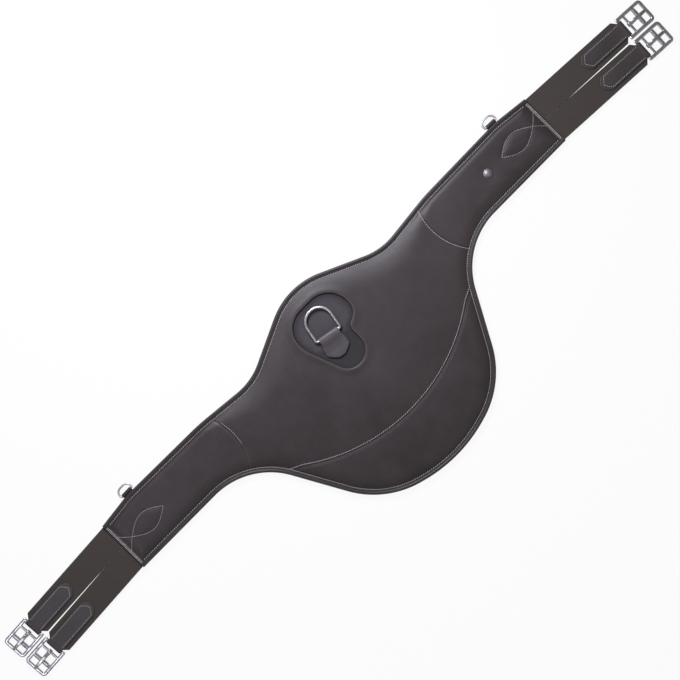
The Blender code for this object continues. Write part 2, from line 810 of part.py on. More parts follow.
def elastic_end(side, row, base):
    name = side + "_" + row

    def at(u):
        return base @ Matrix.Translation((u, 0, 0))

    # Sewn-in root
    w = WEB_W / 2
    tail = FOLD_OUT + ROOT_TAIL
    stop = -web_r - FIT
    loop = [Vector(p) for p in ((-tail, -w), (stop, -w), (stop, w), (-tail, w))]
    finish(name + "_root", plate([loop], [], flat(-web_r), flat(web_r)), ELASTIC, place=base)

    # Free web, with a half-round root about the fold line
    end = HEEL_U - WEB_END_GAP
    narrow = chape_w - 0.3 * MM
    cut = end - WEB_END_CUT
    root = -0.97 * web_r
    loop = [(root, -w), (cut, -w), (end, -narrow), (end, narrow), (cut, w), (root, w)]
    loop = [Vector(p) for p in loop]
    lines = [[Vector((-f * web_r, -0.1)), Vector((-f * web_r, 0.1))] for f in (0.75, 0.4, 0.0)]

    def half_height(p):
        return math.sqrt(max(0.0, web_r ** 2 - min(0.0, p.x) ** 2))

    bm = plate([loop], lines, lambda p: -half_height(p), half_height)
    finish(name + "_web", bm, ELASTIC, place=base)

    # Chape folded round the heel bar, pointed at both ends
    leaf = web_r + FIT + CHAPE_T / 2
    turn_r = BAR_D / 2 + FIT + CHAPE_T / 2
    point = -CHAPE_L + CHAPE_POINT
    bend = -turn_r - 2.5 * MM
    path = [Vector((-CHAPE_L, leaf)), Vector((point, leaf)), Vector((bend, leaf))]
    widths = [0.3 * chape_w, chape_w, chape_w]
    for k in range(13):
        a = math.radians(112 - 224 * k / 12)
        path.append(Vector((turn_r * math.cos(a), turn_r * math.sin(a))))
        widths.append(chape_w)
    path += [Vector((bend, -leaf)), Vector((point, -leaf)), Vector((-CHAPE_L, -leaf))]
    widths += [chape_w, chape_w, 0.3 * chape_w]
    finish(name + "_chape", strip(path, widths, CHAPE_T), LEATHER, place=at(HEEL_U))

    # Frame: rails and end bar, then the three round bars
    o = FRAME_W / 2
    inner_end = FRAME_END_U - END_BAR_W
    loop = rounded(
        [(frame_back, -o), (FRAME_END_U, -o), (FRAME_END_U, o), (frame_back, o)]
        + [(frame_back, rail_in), (inner_end, rail_in), (inner_end, -rail_in), (frame_back, -rail_in)],
        [1 * MM, FRAME_CORNER_R, FRAME_CORNER_R, 1 * MM, 1 * MM, 1.5 * MM, 1.5 * MM, 1 * MM],
        closed=True,
    )
    flat_part = shift(loop, FRAME_EDGE, True)

    def frame_height(p):
        d = min(distance(loop + loop[:1], p), FRAME_EDGE)
        return FRAME_T / 2 - (FRAME_EDGE - d)

    bm = plate([loop], [flat_part + flat_part[:1]], lambda p: -frame_height(p), frame_height)
    frame = finish(name + "_frame", bm, STEEL, 1.0, 0.25, at(HEEL_U))
    for u in (0.0, TONGUE_BAR_U, ROLLER_BAR_U):
        cross = finish("bar", bar(2 * rail_in + RAIL_W), STEEL, place=at(HEEL_U + u))
        boolean(frame, cross, "UNION")

    # Roller sleeve
    play = BAR_D / 2 + FIT
    length = rail_in - ROLLER_PLAY
    bevel = 0.4 * MM
    outer_r = ROLLER_D / 2
    sleeve = [(outer_r - bevel, -length), (outer_r, -length + bevel), (outer_r, length - bevel)]
    sleeve += [(outer_r - bevel, length), (play, length), (play, -length)]
    finish(name + "_roller", along_v(turned(sleeve, 16, True)), STEEL, 1.0, 0.2, at(HEEL_U + ROLLER_BAR_U))

    # Tongue: an eye round its bar and a shank that lies over the roller on the end bar
    eye = play + TONGUE_EYE_T
    over = ROLLER_D / 2 + FIT
    far = FRAME_END_U - END_BAR_W / 2 - TONGUE_BAR_U
    rest = FRAME_T / 2 + FIT
    mid = ROLLER_BAR_U - TONGUE_BAR_U
    tip = far + 1.6 * MM
    angles = [math.radians(100 + 22 * k) for k in range(13)]
    outer = [Vector((eye * math.cos(a), eye * math.sin(a))) for a in angles]
    shank = [(eye + 1.6 * MM, over - 0.5 * MM), (mid, over), (far, rest), (tip, rest + 0.5 * MM)]
    shank += [(tip, rest + 1.4 * MM), (far - 1.0 * MM, rest + TONGUE_T), (mid, over + TONGUE_T)]
    outer += [Vector(p) for p in shank + [(eye, over + TONGUE_T * 0.75)]]
    hole = circle(0.0, 0.0, play, 14)
    bm = plate([outer, hole], [], flat(-TONGUE_W / 2), flat(TONGUE_W / 2))
    upright = Matrix(((1, 0, 0), (0, 0, 1), (0, 1, 0)))
    bmesh.ops.transform(bm, matrix=upright.to_4x4(), verts=bm.verts)
    finish(name + "_tongue", bm, STEEL, 1.0, 0.25, at(HEEL_U + TONGUE_BAR_U))


for side, sign in (("left", -1), ("right", 1)):
    heading = -END_TILT if sign > 0 else math.pi + END_TILT
    middle = Matrix.Translation((sign * (WING_END + FOLD_OUT), END_Y, WEB_MID))
    middle = middle @ Matrix.Rotation(heading, 4, "Z")
    for row, step in (("front", 1), ("rear", -1)):
        elastic_end(side, row, middle @ Matrix.Translation((0, sign * step * lane, 0)))

total = 0
for thing in bpy.data.objects:
    thing.data.calc_loop_triangles()
    total += len(thing.data.loop_triangles)
print("nodes", len(bpy.data.objects), "triangles", total)
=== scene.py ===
# %% [markdown]
# # A saddle girth with a belly guard
#
# A girth is the strap that goes under the horse and holds the saddle. This one is cut wide in
# the middle, so that the studs of a jumping horse's shoes meet leather and not the belly. It is
# a padded leather body with a rolled rim, two elastic straps at each end, and a roller buckle on
# each strap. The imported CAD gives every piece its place, and this lesson dresses it.

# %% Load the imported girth
import json
import math

import bmesh
import bpy
import numpy as np
from mathutils import Matrix, Vector
from mathutils.bvhtree import BVHTree
from mathutils.geometry import delaunay_2d_cdt

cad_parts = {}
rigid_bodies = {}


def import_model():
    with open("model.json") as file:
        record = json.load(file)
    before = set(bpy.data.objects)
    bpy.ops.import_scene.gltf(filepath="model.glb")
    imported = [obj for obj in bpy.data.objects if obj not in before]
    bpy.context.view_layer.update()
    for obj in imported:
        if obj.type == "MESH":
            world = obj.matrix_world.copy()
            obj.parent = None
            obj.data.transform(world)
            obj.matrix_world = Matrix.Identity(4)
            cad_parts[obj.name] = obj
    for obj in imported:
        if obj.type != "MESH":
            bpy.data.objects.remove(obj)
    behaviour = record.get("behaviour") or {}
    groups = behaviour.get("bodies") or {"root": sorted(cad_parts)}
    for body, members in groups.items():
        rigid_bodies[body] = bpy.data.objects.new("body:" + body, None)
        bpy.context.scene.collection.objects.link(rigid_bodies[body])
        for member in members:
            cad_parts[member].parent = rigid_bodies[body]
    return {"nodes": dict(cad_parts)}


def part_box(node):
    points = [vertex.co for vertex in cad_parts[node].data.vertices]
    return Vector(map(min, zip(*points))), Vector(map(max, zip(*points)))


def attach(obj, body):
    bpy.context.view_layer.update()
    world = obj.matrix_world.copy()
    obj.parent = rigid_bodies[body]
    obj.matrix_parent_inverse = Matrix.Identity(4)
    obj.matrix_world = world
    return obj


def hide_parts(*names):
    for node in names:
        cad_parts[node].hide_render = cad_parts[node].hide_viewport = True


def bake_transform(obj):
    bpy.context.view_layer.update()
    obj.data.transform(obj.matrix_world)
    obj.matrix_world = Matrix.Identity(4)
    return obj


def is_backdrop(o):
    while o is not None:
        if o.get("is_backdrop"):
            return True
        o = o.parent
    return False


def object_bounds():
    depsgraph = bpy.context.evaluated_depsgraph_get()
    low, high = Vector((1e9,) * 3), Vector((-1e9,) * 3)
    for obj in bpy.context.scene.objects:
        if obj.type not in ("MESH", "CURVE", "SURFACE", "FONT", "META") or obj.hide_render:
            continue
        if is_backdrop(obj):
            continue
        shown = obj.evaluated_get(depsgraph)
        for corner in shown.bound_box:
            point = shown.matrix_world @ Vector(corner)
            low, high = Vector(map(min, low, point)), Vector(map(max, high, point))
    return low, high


for leftover in list(bpy.data.objects):
    bpy.data.objects.remove(leftover, do_unlink=True)
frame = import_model()
cad_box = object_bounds()
MM = 0.001

# %% [markdown]
# ## Camera
#
# The picture was taken straight from above, with the girth lying across the frame from corner to
# corner. A camera that looks straight down through a long lens gives that flat look. Its height
# follows from how wide the view is at the leather, so that width can be fitted to the picture.

# %% Camera
LENS = 100.0
SENSOR = 36.0
VIEW_WIDTH = 976.3 * MM
VIEW_CENTRE = (-0.9 * MM, -15.2 * MM)
VIEW_TURN = math.radians(-45.35)
LEATHER_HEIGHT = 9 * MM


def put(name, data):
    """A new object in the scene."""
    thing = bpy.data.objects.new(name, data)
    bpy.context.collection.objects.link(thing)
    return thing


camera = bpy.data.cameras.new("camera_above")
camera.lens = LENS
camera.sensor_width = SENSOR
camera.clip_end = 50
viewer = put("camera_above", camera)
viewer.location = (*VIEW_CENTRE, LEATHER_HEIGHT + VIEW_WIDTH * LENS / SENSOR)
viewer.rotation_euler = (0, 0, VIEW_TURN)
bpy.context.scene.camera = viewer
bpy.context.scene.view_settings.view_transform = "Standard"
print("camera height", round(viewer.location.z, 3))


# %% [markdown]
# ## Shader maths as plain arithmetic
#
# A finish is a tree of nodes, and node trees are slow to read. Here a small class wraps a socket,
# so that an expression such as 1 - mask * 0.3 adds its Math nodes by itself. Every other node
# comes from one method, which takes the node's type, its settings and what goes into its sockets.

# %% Sockets and finishes
class Value:
    """A number that changes over the surface, for use in plain arithmetic."""

    def __init__(self, finish, socket):
        self.finish = finish
        self.socket = socket

    def maths(self, kind, one, two):
        return self.finish.node("ShaderNodeMath", {"operation": kind}, {0: one, 1: two})

    def __add__(self, other):
        return self.maths("ADD", self, other)

    def __sub__(self, other):
        return self.maths("SUBTRACT", self, other)

    def __rsub__(self, other):
        return self.maths("SUBTRACT", other, self)

    def __mul__(self, other):
        return self.maths("MULTIPLY", self, other)

    __radd__ = __add__
    __rmul__ = __mul__


class Finish:
    """A material, and the one way that nodes are added to it."""

    def __init__(self, name, **constants):
        self.material = bpy.data.materials.new(name)
        self.material.use_nodes = True
        self.tree = self.material.node_tree
        self.skin = self.tree.nodes["Principled BSDF"]
        self.feed(self.skin, {key.replace("_", " "): value for key, value in constants.items()})

    def feed(self, node, sockets):
        for key, value in sockets.items():
            if isinstance(value, Value):
                self.tree.links.new(value.socket, node.inputs[key])
            else:
                node.inputs[key].default_value = value

    def node(self, kind, settings=None, sockets=None, out=0):
        made = self.tree.nodes.new(kind)
        for key, value in (settings or {}).items():
            setattr(made, key, value)
        self.feed(made, sockets or {})
        return Value(self, made.outputs[out])

    def place(self):
        return self.node("ShaderNodeTexCoord", out="Object")

    def noise(self, vector, scale, detail=2.0, rough=0.5):
        sockets = {"Vector": vector, "Scale": scale, "Detail": detail, "Roughness": rough}
        return self.node("ShaderNodeTexNoise", None, sockets, "Fac")

    def cells(self, vector, scale, feature="F1"):
        sockets = {"Vector": vector, "Scale": scale}
        return self.node("ShaderNodeTexVoronoi", {"feature": feature}, sockets, "Distance")

    def stretch(self, vector, by):
        sockets = {0: vector, 1: by}
        return self.node("ShaderNodeVectorMath", {"operation": "MULTIPLY"}, sockets)

    def ramp(self, value, low, high):
        """0 at low, 1 at high, eased."""
        sockets = {"Value": value, "From Min": low, "From Max": high}
        return self.node("ShaderNodeMapRange", {"interpolation_type": "SMOOTHSTEP"}, sockets)

    def wave(self, value):
        return self.node("ShaderNodeMath", {"operation": "SINE"}, {0: value})

    def tint(self, share, one, two):
        """One colour at 0, the other at 1. A Mix node has its colours in sockets 6 and 7."""
        return self.node("ShaderNodeMix", {"data_type": "RGBA"}, {0: share, 6: one, 7: two}, 2)

    def drawn(self, name):
        """A number painted on the points of the mesh."""
        return self.node("ShaderNodeAttribute", {"attribute_name": name}, None, "Fac")

    def bump(self, height, depth, strength=1.0):
        sockets = {"Height": height, "Distance": depth, "Strength": strength}
        normal = self.node("ShaderNodeBump", None, sockets)
        self.feed(self.skin, {"Normal": normal})


def srgb(red, green, blue):
    """A colour as a picture shows it, turned into the linear one that shaders use."""
    linear = []
    for part in (red, green, blue):
        share = part / 255
        linear.append(share / 12.92 if share < 0.04045 else ((share + 0.055) / 1.055) ** 2.4)
    return (*linear, 1)


print("leather colour", [round(part, 4) for part in srgb(60, 54, 56)])

# %% [markdown]
# ## Floor, world and lamps
#
# The floor mixes two shaders. A plain white one takes light and shadow. A glowing one is seen
# only by the camera and by reflections, and lifts the floor to white without adding any light to
# the leather, so the girth keeps a soft shadow on it. The light itself is an even sky and three
# soft lamps: a key in front of the girth, whose light grazes the padding along that edge, a broad
# weak fill behind, and a small one over the left end, where the picture is a little brighter.

# %% Floor
FLOOR_GLOW = 0.92
FLOOR_HALF = 6.0
FLOOR_HEIGHT = -0.2 * MM
FLOOR_CORNERS = ((-1, -1), (1, -1), (1, 1), (-1, 1))
white = Finish("pale_floor", Base_Color=(0.9, 0.9, 0.9, 1), Roughness=0.9)
rays = white.tree.nodes.new("ShaderNodeLightPath").outputs
seen = Value(white, rays["Is Camera Ray"]) + Value(white, rays["Is Glossy Ray"])
seen = seen + Value(white, rays["Is Transmission Ray"])
glow = white.node("ShaderNodeEmission", None, {"Color": (1, 1, 1, 1), "Strength": 1.0})
mottle = white.noise(white.place(), 3.0, 3.0)
white.feed(white.skin, {"Roughness": 0.85 + mottle * 0.1})
mixed = white.node("ShaderNodeMixShader", None, {0: seen * FLOOR_GLOW, 2: glow})
white.tree.links.new(white.skin.outputs[0], mixed.socket.node.inputs[1])
white.tree.links.new(mixed.socket, white.tree.nodes["Material Output"].inputs["Surface"])
floor_mesh = bpy.data.meshes.new("floor")
square = [(x * FLOOR_HALF, y * FLOOR_HALF, FLOOR_HEIGHT) for x, y in FLOOR_CORNERS]
floor_mesh.from_pydata(square, [], [(0, 1, 2, 3)])
floor_mesh.materials.append(white.material)
floor = put("floor", floor_mesh)
floor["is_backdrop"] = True
print("floor", 2 * FLOOR_HALF, "m wide")

# %% World and lamps
SKY = 0.228
COOL = (0.89, 0.885, 1.0)
world = bpy.data.worlds.new("soft_room")
world.use_nodes = True
sky = world.node_tree.nodes["Background"]
sky.inputs["Color"].default_value = (1, 0.98, 0.96, 1)
sky.inputs["Strength"].default_value = SKY
path = world.node_tree.nodes.new("ShaderNodeLightPath")
pure = world.node_tree.nodes.new("ShaderNodeBackground")
pure.inputs["Color"].default_value = (1, 1, 1, 1)
either = world.node_tree.nodes.new("ShaderNodeMixShader")
surface = world.node_tree.nodes["World Output"].inputs["Surface"]
starts = (path.outputs["Is Camera Ray"], sky.outputs[0], pure.outputs[0])
for start, end in zip(starts, either.inputs):
    world.node_tree.links.new(start, end)
world.node_tree.links.new(either.outputs[0], surface)
bpy.context.scene.world = world


def softbox(name, stand, aim, size, power, colour=(1, 1, 1)):
    """A square lamp that stands at one point and is turned to another, on the girth."""
    lamp = bpy.data.lights.new(name, "AREA")
    lamp.size = size
    lamp.energy = power
    lamp.color = colour
    thing = put(name, lamp)
    thing.location = stand
    thing.rotation_euler = (Vector(aim) - Vector(stand)).to_track_quat("-Z", "Y").to_euler()


softbox("key_front", (0.19, 0.6, 0.8), (0, 0, 0), 0.35, 11.0, COOL)
softbox("fill_rear", (0.3, -1.2, 1.4), (0, 0, 0), 1.2, 2.6)
softbox("left_end", (-0.92, -0.02, 1.0), (-0.62, -0.03, 0), 0.5, 2.0, COOL)
print("lamps", [lamp.name for lamp in bpy.data.lights])

# %% [markdown]
# ## Lines to sew and cut along
#
# A saddler draws the outline first, then the seams. The same numbers as in the CAD give both
# edges of the rim, the two round wing seams, the long seam of the guard, and the window that the
# breast ring lies in. Each line becomes a dense row of points, and helpers give a parallel line,
# the distance of points from a line, and whether points lie inside a loop.

# %% Drawing lines
def rounded(corners, radii, closed=False):
    """Corner points with each corner rounded by an arc of about 1 mm steps."""
    corners = np.array(corners, float)
    count = len(corners)
    out = []
    for i, (corner, radius) in enumerate(zip(corners, radii)):
        if radius <= 0 or (not closed and i in (0, count - 1)):
            out.append(corner)
            continue
        before = corners[i - 1] - corner
        after = corners[(i + 1) % count] - corner
        before /= np.linalg.norm(before)
        after /= np.linalg.norm(after)
        turn = math.pi - math.acos(before @ after)
        middle = (before + after) / np.linalg.norm(before + after)
        centre = corner + middle * radius / math.cos(turn / 2)
        arm = corner + before * radius * math.tan(turn / 2) - centre
        side = 1 if before[0] * after[1] - before[1] * after[0] < 0 else -1
        steps = max(4, int(radius * turn / MM))
        for angle in np.linspace(0, side * turn, steps + 1):
            c, s = math.cos(angle), math.sin(angle)
            out.append(centre + np.array((arm[0] * c - arm[1] * s, arm[0] * s + arm[1] * c)))
    return np.array(out)


def arc(radius, first, last, step):
    """Points of a circle round the origin, between two angles in degrees."""
    angles = [math.radians(angle) for angle in range(first, last, step)]
    return [(radius * math.cos(angle), radius * math.sin(angle)) for angle in angles]


def run_of(line):
    """Length along a line, up to each of its points."""
    return np.concatenate([[0], np.cumsum(np.linalg.norm(np.diff(line, axis=0), axis=1))])


def along_run(line, run, places):
    """Points of a line at some lengths along it."""
    return np.column_stack([np.interp(places, run, part) for part in line.T])


def headings(line, closed=False):
    """Direction of a line at each of its points, with length one."""
    along = np.roll(line, -1, 0) - np.roll(line, 1, 0) if closed else np.gradient(line, axis=0)
    return along / np.linalg.norm(along, axis=1)[:, None]


def looped(line):
    return np.vstack([line, line[:1]])


def even(line, step, closed=False):
    """The same line with its points evenly spaced."""
    line = looped(line) if closed else np.asarray(line, float)
    run = run_of(line)
    places = np.linspace(0, run[-1], max(2, round(run[-1] / step) + 1))
    made = along_run(line, run, places)
    return made[:-1] if closed else made


def beside(line, gap, closed=False):
    """Parallel line, to the left by gap."""
    along = headings(line, closed)
    return line + gap * np.column_stack([-along[:, 1], along[:, 0]])


right_angle = [(0, 0), (20 * MM, 0), (20 * MM, 20 * MM)]
print("a corner of 10 mm has", len(rounded(right_angle, [0, 10 * MM, 0])), "points")

# %% Measuring from lines
BATCH = 2000


def gap_to(line, points):
    """Distance of each point from a line."""
    start = line[:-1]
    leg = line[1:] - start
    square = (leg * leg).sum(1) + 1e-18
    best = np.empty(len(points))
    for first in range(0, len(points), BATCH):
        arm = points[first : first + BATCH, None] - start
        share = np.clip((arm * leg).sum(2) / square, 0, 1)
        best[first : first + BATCH] = np.linalg.norm(arm - share[..., None] * leg, axis=2).min(1)
    return best


def inside(loop, points):
    """Whether each point lies in a loop: a ray from it crosses the loop an odd number of times."""
    hit = np.zeros(len(points), bool)
    for a, b in zip(loop, np.roll(loop, -1, 0)):
        if a[1] == b[1]:
            continue
        crosses = (a[1] > points[:, 1]) != (b[1] > points[:, 1])
        reach = a[0] + (points[:, 1] - a[1]) * (b[0] - a[0]) / (b[1] - a[1])
        hit ^= crosses & (points[:, 0] < reach)
    return hit


square_loop = np.array([(0, 0), (1, 0), (1, 1), (0, 1)])
print("inside a square", inside(square_loop, np.array([(0.5, 0.5), (1.5, 0.5)])))

# %% Outline of the body
WING_END = 431 * MM
RIM = 1.5 * MM
LINE_STEP = 2.4 * MM
FRONT_CORNERS = [(0, 95, 112), (132.8, 33.9, 95), (230, 44, 300), (375, 46.2, 120), (431, 39.6, 0)]
REAR_CORNERS = [(0, -259.6, 221.7), (120.2, -225.9, 136.9), (219.9, -44.6, 111.8), (431, -44.4, 0)]


def both_halves(corners):
    """A line given by its right half, with its mirror image on the left."""
    right = [(x * MM, y * MM) for x, y, radius in corners]
    left = [(-x, y) for x, y in reversed(right[1:])]
    radii = [radius * MM for x, y, radius in corners]
    return even(rounded(left + right, radii[:0:-1] + radii), LINE_STEP)


front_edge = beside(both_halves(FRONT_CORNERS), -RIM)
rear_edge = beside(both_halves(REAR_CORNERS), RIM)
for line in (front_edge, rear_edge):
    line[0, 0] = -WING_END
    line[-1, 0] = WING_END
body_loop = np.vstack([rear_edge, front_edge[::-1]])
print("edge points", len(front_edge), len(rear_edge))

# %% Seams, window and wing stitching
FAR = 1.0
WING_SEAM_R = 91
WING_SEAM_MID = (296.5, 2)
WING_SEAM_TURN = 52
GUARD_SEAM_R = 282
GUARD_SEAM_Y = 123
GUARD_SEAM_HALF = 166
GUARD_SEAM_END = (206, -86)
EYE_TIP = 348
EYE_HALF = 14.5
EYE_MID = 1
EYE_SKEW = 2.5
CROSSING = 411
TAIL_END = 426
TAIL_SLOPE = 0.712
TAIL_BEND = 0.02


def wing_seam(side):
    """Round seam from the front edge to the rear edge, bowed towards the middle."""
    angle = np.radians(np.linspace(180 - WING_SEAM_TURN, 180 + WING_SEAM_TURN, 80))
    x = side * (WING_SEAM_MID[0] + WING_SEAM_R * np.cos(angle))
    return np.column_stack([x, WING_SEAM_MID[1] + WING_SEAM_R * np.sin(angle)]) * MM


def wing_eye(side, up):
    """One line of the crossed stitching that holds the elastic in the wing."""
    x = np.linspace(EYE_TIP, TAIL_END, 60)
    past = np.clip(x - CROSSING, 0, None)
    leaf = EYE_HALF * np.sin(np.pi * (x - EYE_TIP) / (CROSSING - EYE_TIP))
    bow = np.where(x < CROSSING, leaf, -TAIL_SLOPE * past * (1 + TAIL_BEND * past))
    return np.column_stack([side * x, EYE_MID + EYE_SKEW * side + up * bow]) * MM


seam_turn = math.asin(GUARD_SEAM_HALF / GUARD_SEAM_R)
angle = np.linspace(-math.pi / 2 - seam_turn, -math.pi / 2 + seam_turn, 150)
arch = np.column_stack([GUARD_SEAM_R * np.cos(angle), GUARD_SEAM_Y + GUARD_SEAM_R * np.sin(angle)])
end_x, end_y = GUARD_SEAM_END
guard_seam = np.vstack([(-end_x, end_y), arch, (end_x, end_y)]) * MM
guard_seam = even(guard_seam, LINE_STEP)
left_seam = even(wing_seam(-1), LINE_STEP)
right_seam = even(wing_seam(1), LINE_STEP)
left_area = np.vstack([left_seam, (-FAR, left_seam[-1, 1]), (-FAR, left_seam[0, 1])])
right_area = np.vstack([right_seam, (FAR, right_seam[-1, 1]), (FAR, right_seam[0, 1])])
guard_far = [(FAR, guard_seam[-1, 1]), (FAR, -FAR), (-FAR, -FAR), (-FAR, guard_seam[0, 1])]
guard_area = np.vstack([guard_seam, guard_far])
WINDOW_CORNERS = [(-46, 54), (-46, 10), (-21, -57.5), (21, -57.5), (21, -10.5), (45.5, 2), (45.5, 54)]
WINDOW_RADII = [34, 50, 22, 25, 14, 20, 36]
window = rounded(np.array(WINDOW_CORNERS) * MM, np.array(WINDOW_RADII) * MM, True)
window = even(window, 1.6 * MM, True)
eyes = [even(wing_eye(side, up), 1.5 * MM) for side in (-1, 1) for up in (-1, 1)]
closed_eyes = [line[np.abs(line[:, 0]) < CROSSING * MM] for line in eyes]
eye_loops = [np.vstack([closed_eyes[k], closed_eyes[k + 1][::-1]]) for k in (0, 2)]
print("guard seam", round(len(guard_seam) * LINE_STEP, 3), "m, window", len(window), "points")

# %% Triangles over the body
LATTICE = 4.2 * MM
ROW_SHARE = 0.866
LEAST_GAP = 0.45
CUT = 0.15 * MM


def lattice(step):
    """Evenly spread points over the body's box, every other row shifted."""
    low, high = body_loop.min(0), body_loop.max(0)
    rows = np.arange(low[1], high[1], step * ROW_SHARE)
    columns = np.arange(low[0], high[0], step)
    grid = [(x + (k % 2) * step / 2, y) for k, y in enumerate(rows) for x in columns]
    return np.array(grid)


def filled(points, edges, loop):
    """Triangles over points, with the edges kept and nothing outside the loop."""
    made = delaunay_2d_cdt([Vector(p) for p in points], edges, [], 0, 1e-7)
    places = np.array([tuple(p) for p in made[0]])
    faces = np.array([face for face in made[2] if len(face) == 3])
    return places, faces[inside(loop, places[faces].mean(1))]


def triangulate(loops, rows, step):
    """Triangles over the body: loops and rows of points kept, a lattice in between."""
    lines = [(loop, True) for loop in loops] + [(row, False) for row in rows]
    points = []
    edges = []
    for line, closed in lines:
        first = len(points)
        points += list(line)
        edges += [(first + k, first + k + 1) for k in range(len(line) - 1)]
        if closed:
            edges.append((len(points) - 1, first))
    free = lattice(step)
    free = free[inside(body_loop, free)]
    gaps = [gap_to(looped(line) if closed else line, free) for line, closed in lines]
    points += list(free[np.minimum.reduce(gaps) > LEAST_GAP * step])
    return filled(points, edges, body_loop)


def as_tuples(faces):
    return [tuple(int(i) for i in face) for face in faces]


print("lattice step", LATTICE)

# %% [markdown]
# ## Stuffing as cloth under pressure
#
# The pad is soft because the leather is sewn down over foam and can only rise between the rows of
# stitches. That is what a cloth simulation does by itself: a coarse sheet is held at the rim, the
# seams, the window, the stud and the crossed stitching, and a light pressure lifts the rest. Only
# the lift is kept, and it is limited, because the foam is firm. Rays from above then read it at
# any place, so that the fine sheet, the foam and the thread all share one surface.

# %% Where the leather is held
PUFF_STEP = 7 * MM
RIM_HELD = 8 * MM
SEAM_HELD = 1.5 * MM
WINDOW_HELD = 7 * MM
STUD_HELD = 9 * MM
STUD = np.array((318, 2)) * MM
SEAMS = (left_seam, right_seam, guard_seam)


def from_rim(points):
    return np.minimum(gap_to(front_edge, points), gap_to(rear_edge, points))


def from_window(points):
    return gap_to(looped(window), points)


def in_body(rows):
    """Rows of points, less the points that lie outside the body."""
    return [row[inside(body_loop, row)] for row in rows]


def freedom(points):
    """Distance from whatever holds the leather down, less the width that is held."""
    gaps = [from_rim(points) - RIM_HELD, WING_END - np.abs(points[:, 0]) - RIM_HELD]
    gaps += [gap_to(line, points) - SEAM_HELD for line in (*SEAMS, *eyes)]
    gaps.append(np.where(inside(window, points), -1, from_window(points) - WINDOW_HELD))
    gaps.append(np.linalg.norm(points - STUD, axis=1) - STUD_HELD)
    return np.minimum.reduce(gaps)


pad, pad_faces = triangulate([body_loop, window], in_body((*SEAMS, *eyes)), PUFF_STEP)
print("stuffing sheet", len(pad), "points", int((freedom(pad) <= 0).sum()), "of them held")

# %% Lift of the leather
PRESSURE = 5.0
STIFFNESS = 40
BENDING = 4
STEPS = 20
MOST_LIFT = 2.2 * MM
EASE = 6 * MM


def stuffed(flat, faces):
    """Height that each point of a flat sheet rises to under pressure, in a few steps."""
    mesh = bpy.data.meshes.new("stuffing")
    mesh.from_pydata([(x, y, 0) for x, y in flat], [], as_tuples(faces))
    sheet = put("stuffing", mesh)
    held = sheet.vertex_groups.new(name="sewn")
    held.add([int(i) for i in np.flatnonzero(freedom(flat) <= 0)], 1.0, "REPLACE")
    cloth = sheet.modifiers.new("stuffing", "CLOTH")
    cloth.settings.vertex_group_mass = "sewn"
    cloth.settings.use_pressure = True
    cloth.settings.uniform_pressure_force = PRESSURE
    cloth.settings.tension_stiffness = STIFFNESS
    cloth.settings.compression_stiffness = STIFFNESS
    cloth.settings.bending_stiffness = BENDING
    cloth.settings.effector_weights.gravity = 0
    cloth.collision_settings.use_collision = False
    cloth.point_cache.frame_end = STEPS
    for step in range(1, STEPS + 1):
        bpy.context.scene.frame_set(step)
    done = sheet.evaluated_get(bpy.context.evaluated_depsgraph_get()).to_mesh()
    height = np.array([v.co.z for v in done.vertices])
    bpy.data.objects.remove(sheet, do_unlink=True)
    bpy.context.scene.frame_set(1)
    return height


pad_lift = stuffed(pad, pad_faces)
print("stuffing lifts", round(pad_lift.max() / MM, 2), "mm before the limit")
pad_lift = MOST_LIFT * np.tanh(np.clip(pad_lift, 0, None) / MOST_LIFT)
pad_points = [(x, y, z) for (x, y), z in zip(pad, pad_lift)]
pad_tree = BVHTree.FromPolygons(pad_points, as_tuples(pad_faces))
AROUND = [(0.0, 0.0)] + arc(PUFF_STEP / 2, 0, 360, 60)


def stuffing(points):
    """Lift at any place: the mean of seven rays, so the coarse triangles don't show."""
    total = np.zeros(len(points))
    for dx, dy in AROUND:
        for k, (x, y) in enumerate(points):
            hit = pad_tree.ray_cast((x + dx, y + dy, 1), (0, 0, -1))[0]
            total[k] += hit.z if hit else 0
    ease = np.clip(freedom(points) / EASE, 0, 1)
    return total / len(AROUND) * ease * ease * (3 - 2 * ease)


# %% [markdown]
# ## The outer leather
#
# The leather lies over a foam core, so it is flat in the middle, rolls down to the rim, and pulls
# in along every row of stitches. One sheet of triangles covers the whole body. Its points lie in
# rows along the rim, the seams and the window, where the surface bends, and in an even lattice
# everywhere else. Heights come first as a function of a place, because the thread has to lie on
# the same surface later.

# %% Heights of the leather
RIM_TOP = 8.5 * MM
CROWN = 3.8 * MM
FLANGE = 6 * MM
REAR_ROLL = 17 * MM
BELLY_ROLL = 38 * MM
WING_ROLL = 7 * MM
BELLY_END = 150 * MM
WING_START = 230 * MM
ROLL_POWER = 2.2
FLOOR_TOP = 8.7 * MM
SEAM_DIP = (0.4 * MM, 1.2 * MM)
LOWER_DIP = (0.45 * MM, 1.7 * MM)
EDGE_DIP = (0.3 * MM, 1.3 * MM)
EYE_DIP = (0.45 * MM, 1.5 * MM)
EYE_PUFF = 0.9 * MM
STUD_DIP = (0.25 * MM, 9 * MM)
LIP = (0.9 * MM, 4.5 * MM)
LIP_IN = 5.0 * MM
LIP_DROP = (2.0 * MM, 2.6 * MM)


def hill(gap, width):
    return np.exp(-((gap / width) ** 2))


def mound(gap, size):
    """A ridge or a groove along a line. Its size is (height, width)."""
    return size[0] * hill(gap, size[1])


def from_seams(points):
    return np.minimum.reduce([gap_to(line, points) for line in SEAMS])


def swell(points):
    """Slow waves of hand-stuffed foam, about a quarter of a millimetre."""
    x, y = points[:, 0] / MM, points[:, 1] / MM
    wave = np.sin(x / 31 + 1.3 * np.sin(y / 47)) + np.sin(y / 26 + 0.8 * np.sin(x / 58) + 1.1)
    return 0.12 * MM * (wave + np.sin((x + y) / 19 + 0.4) * 0.5)


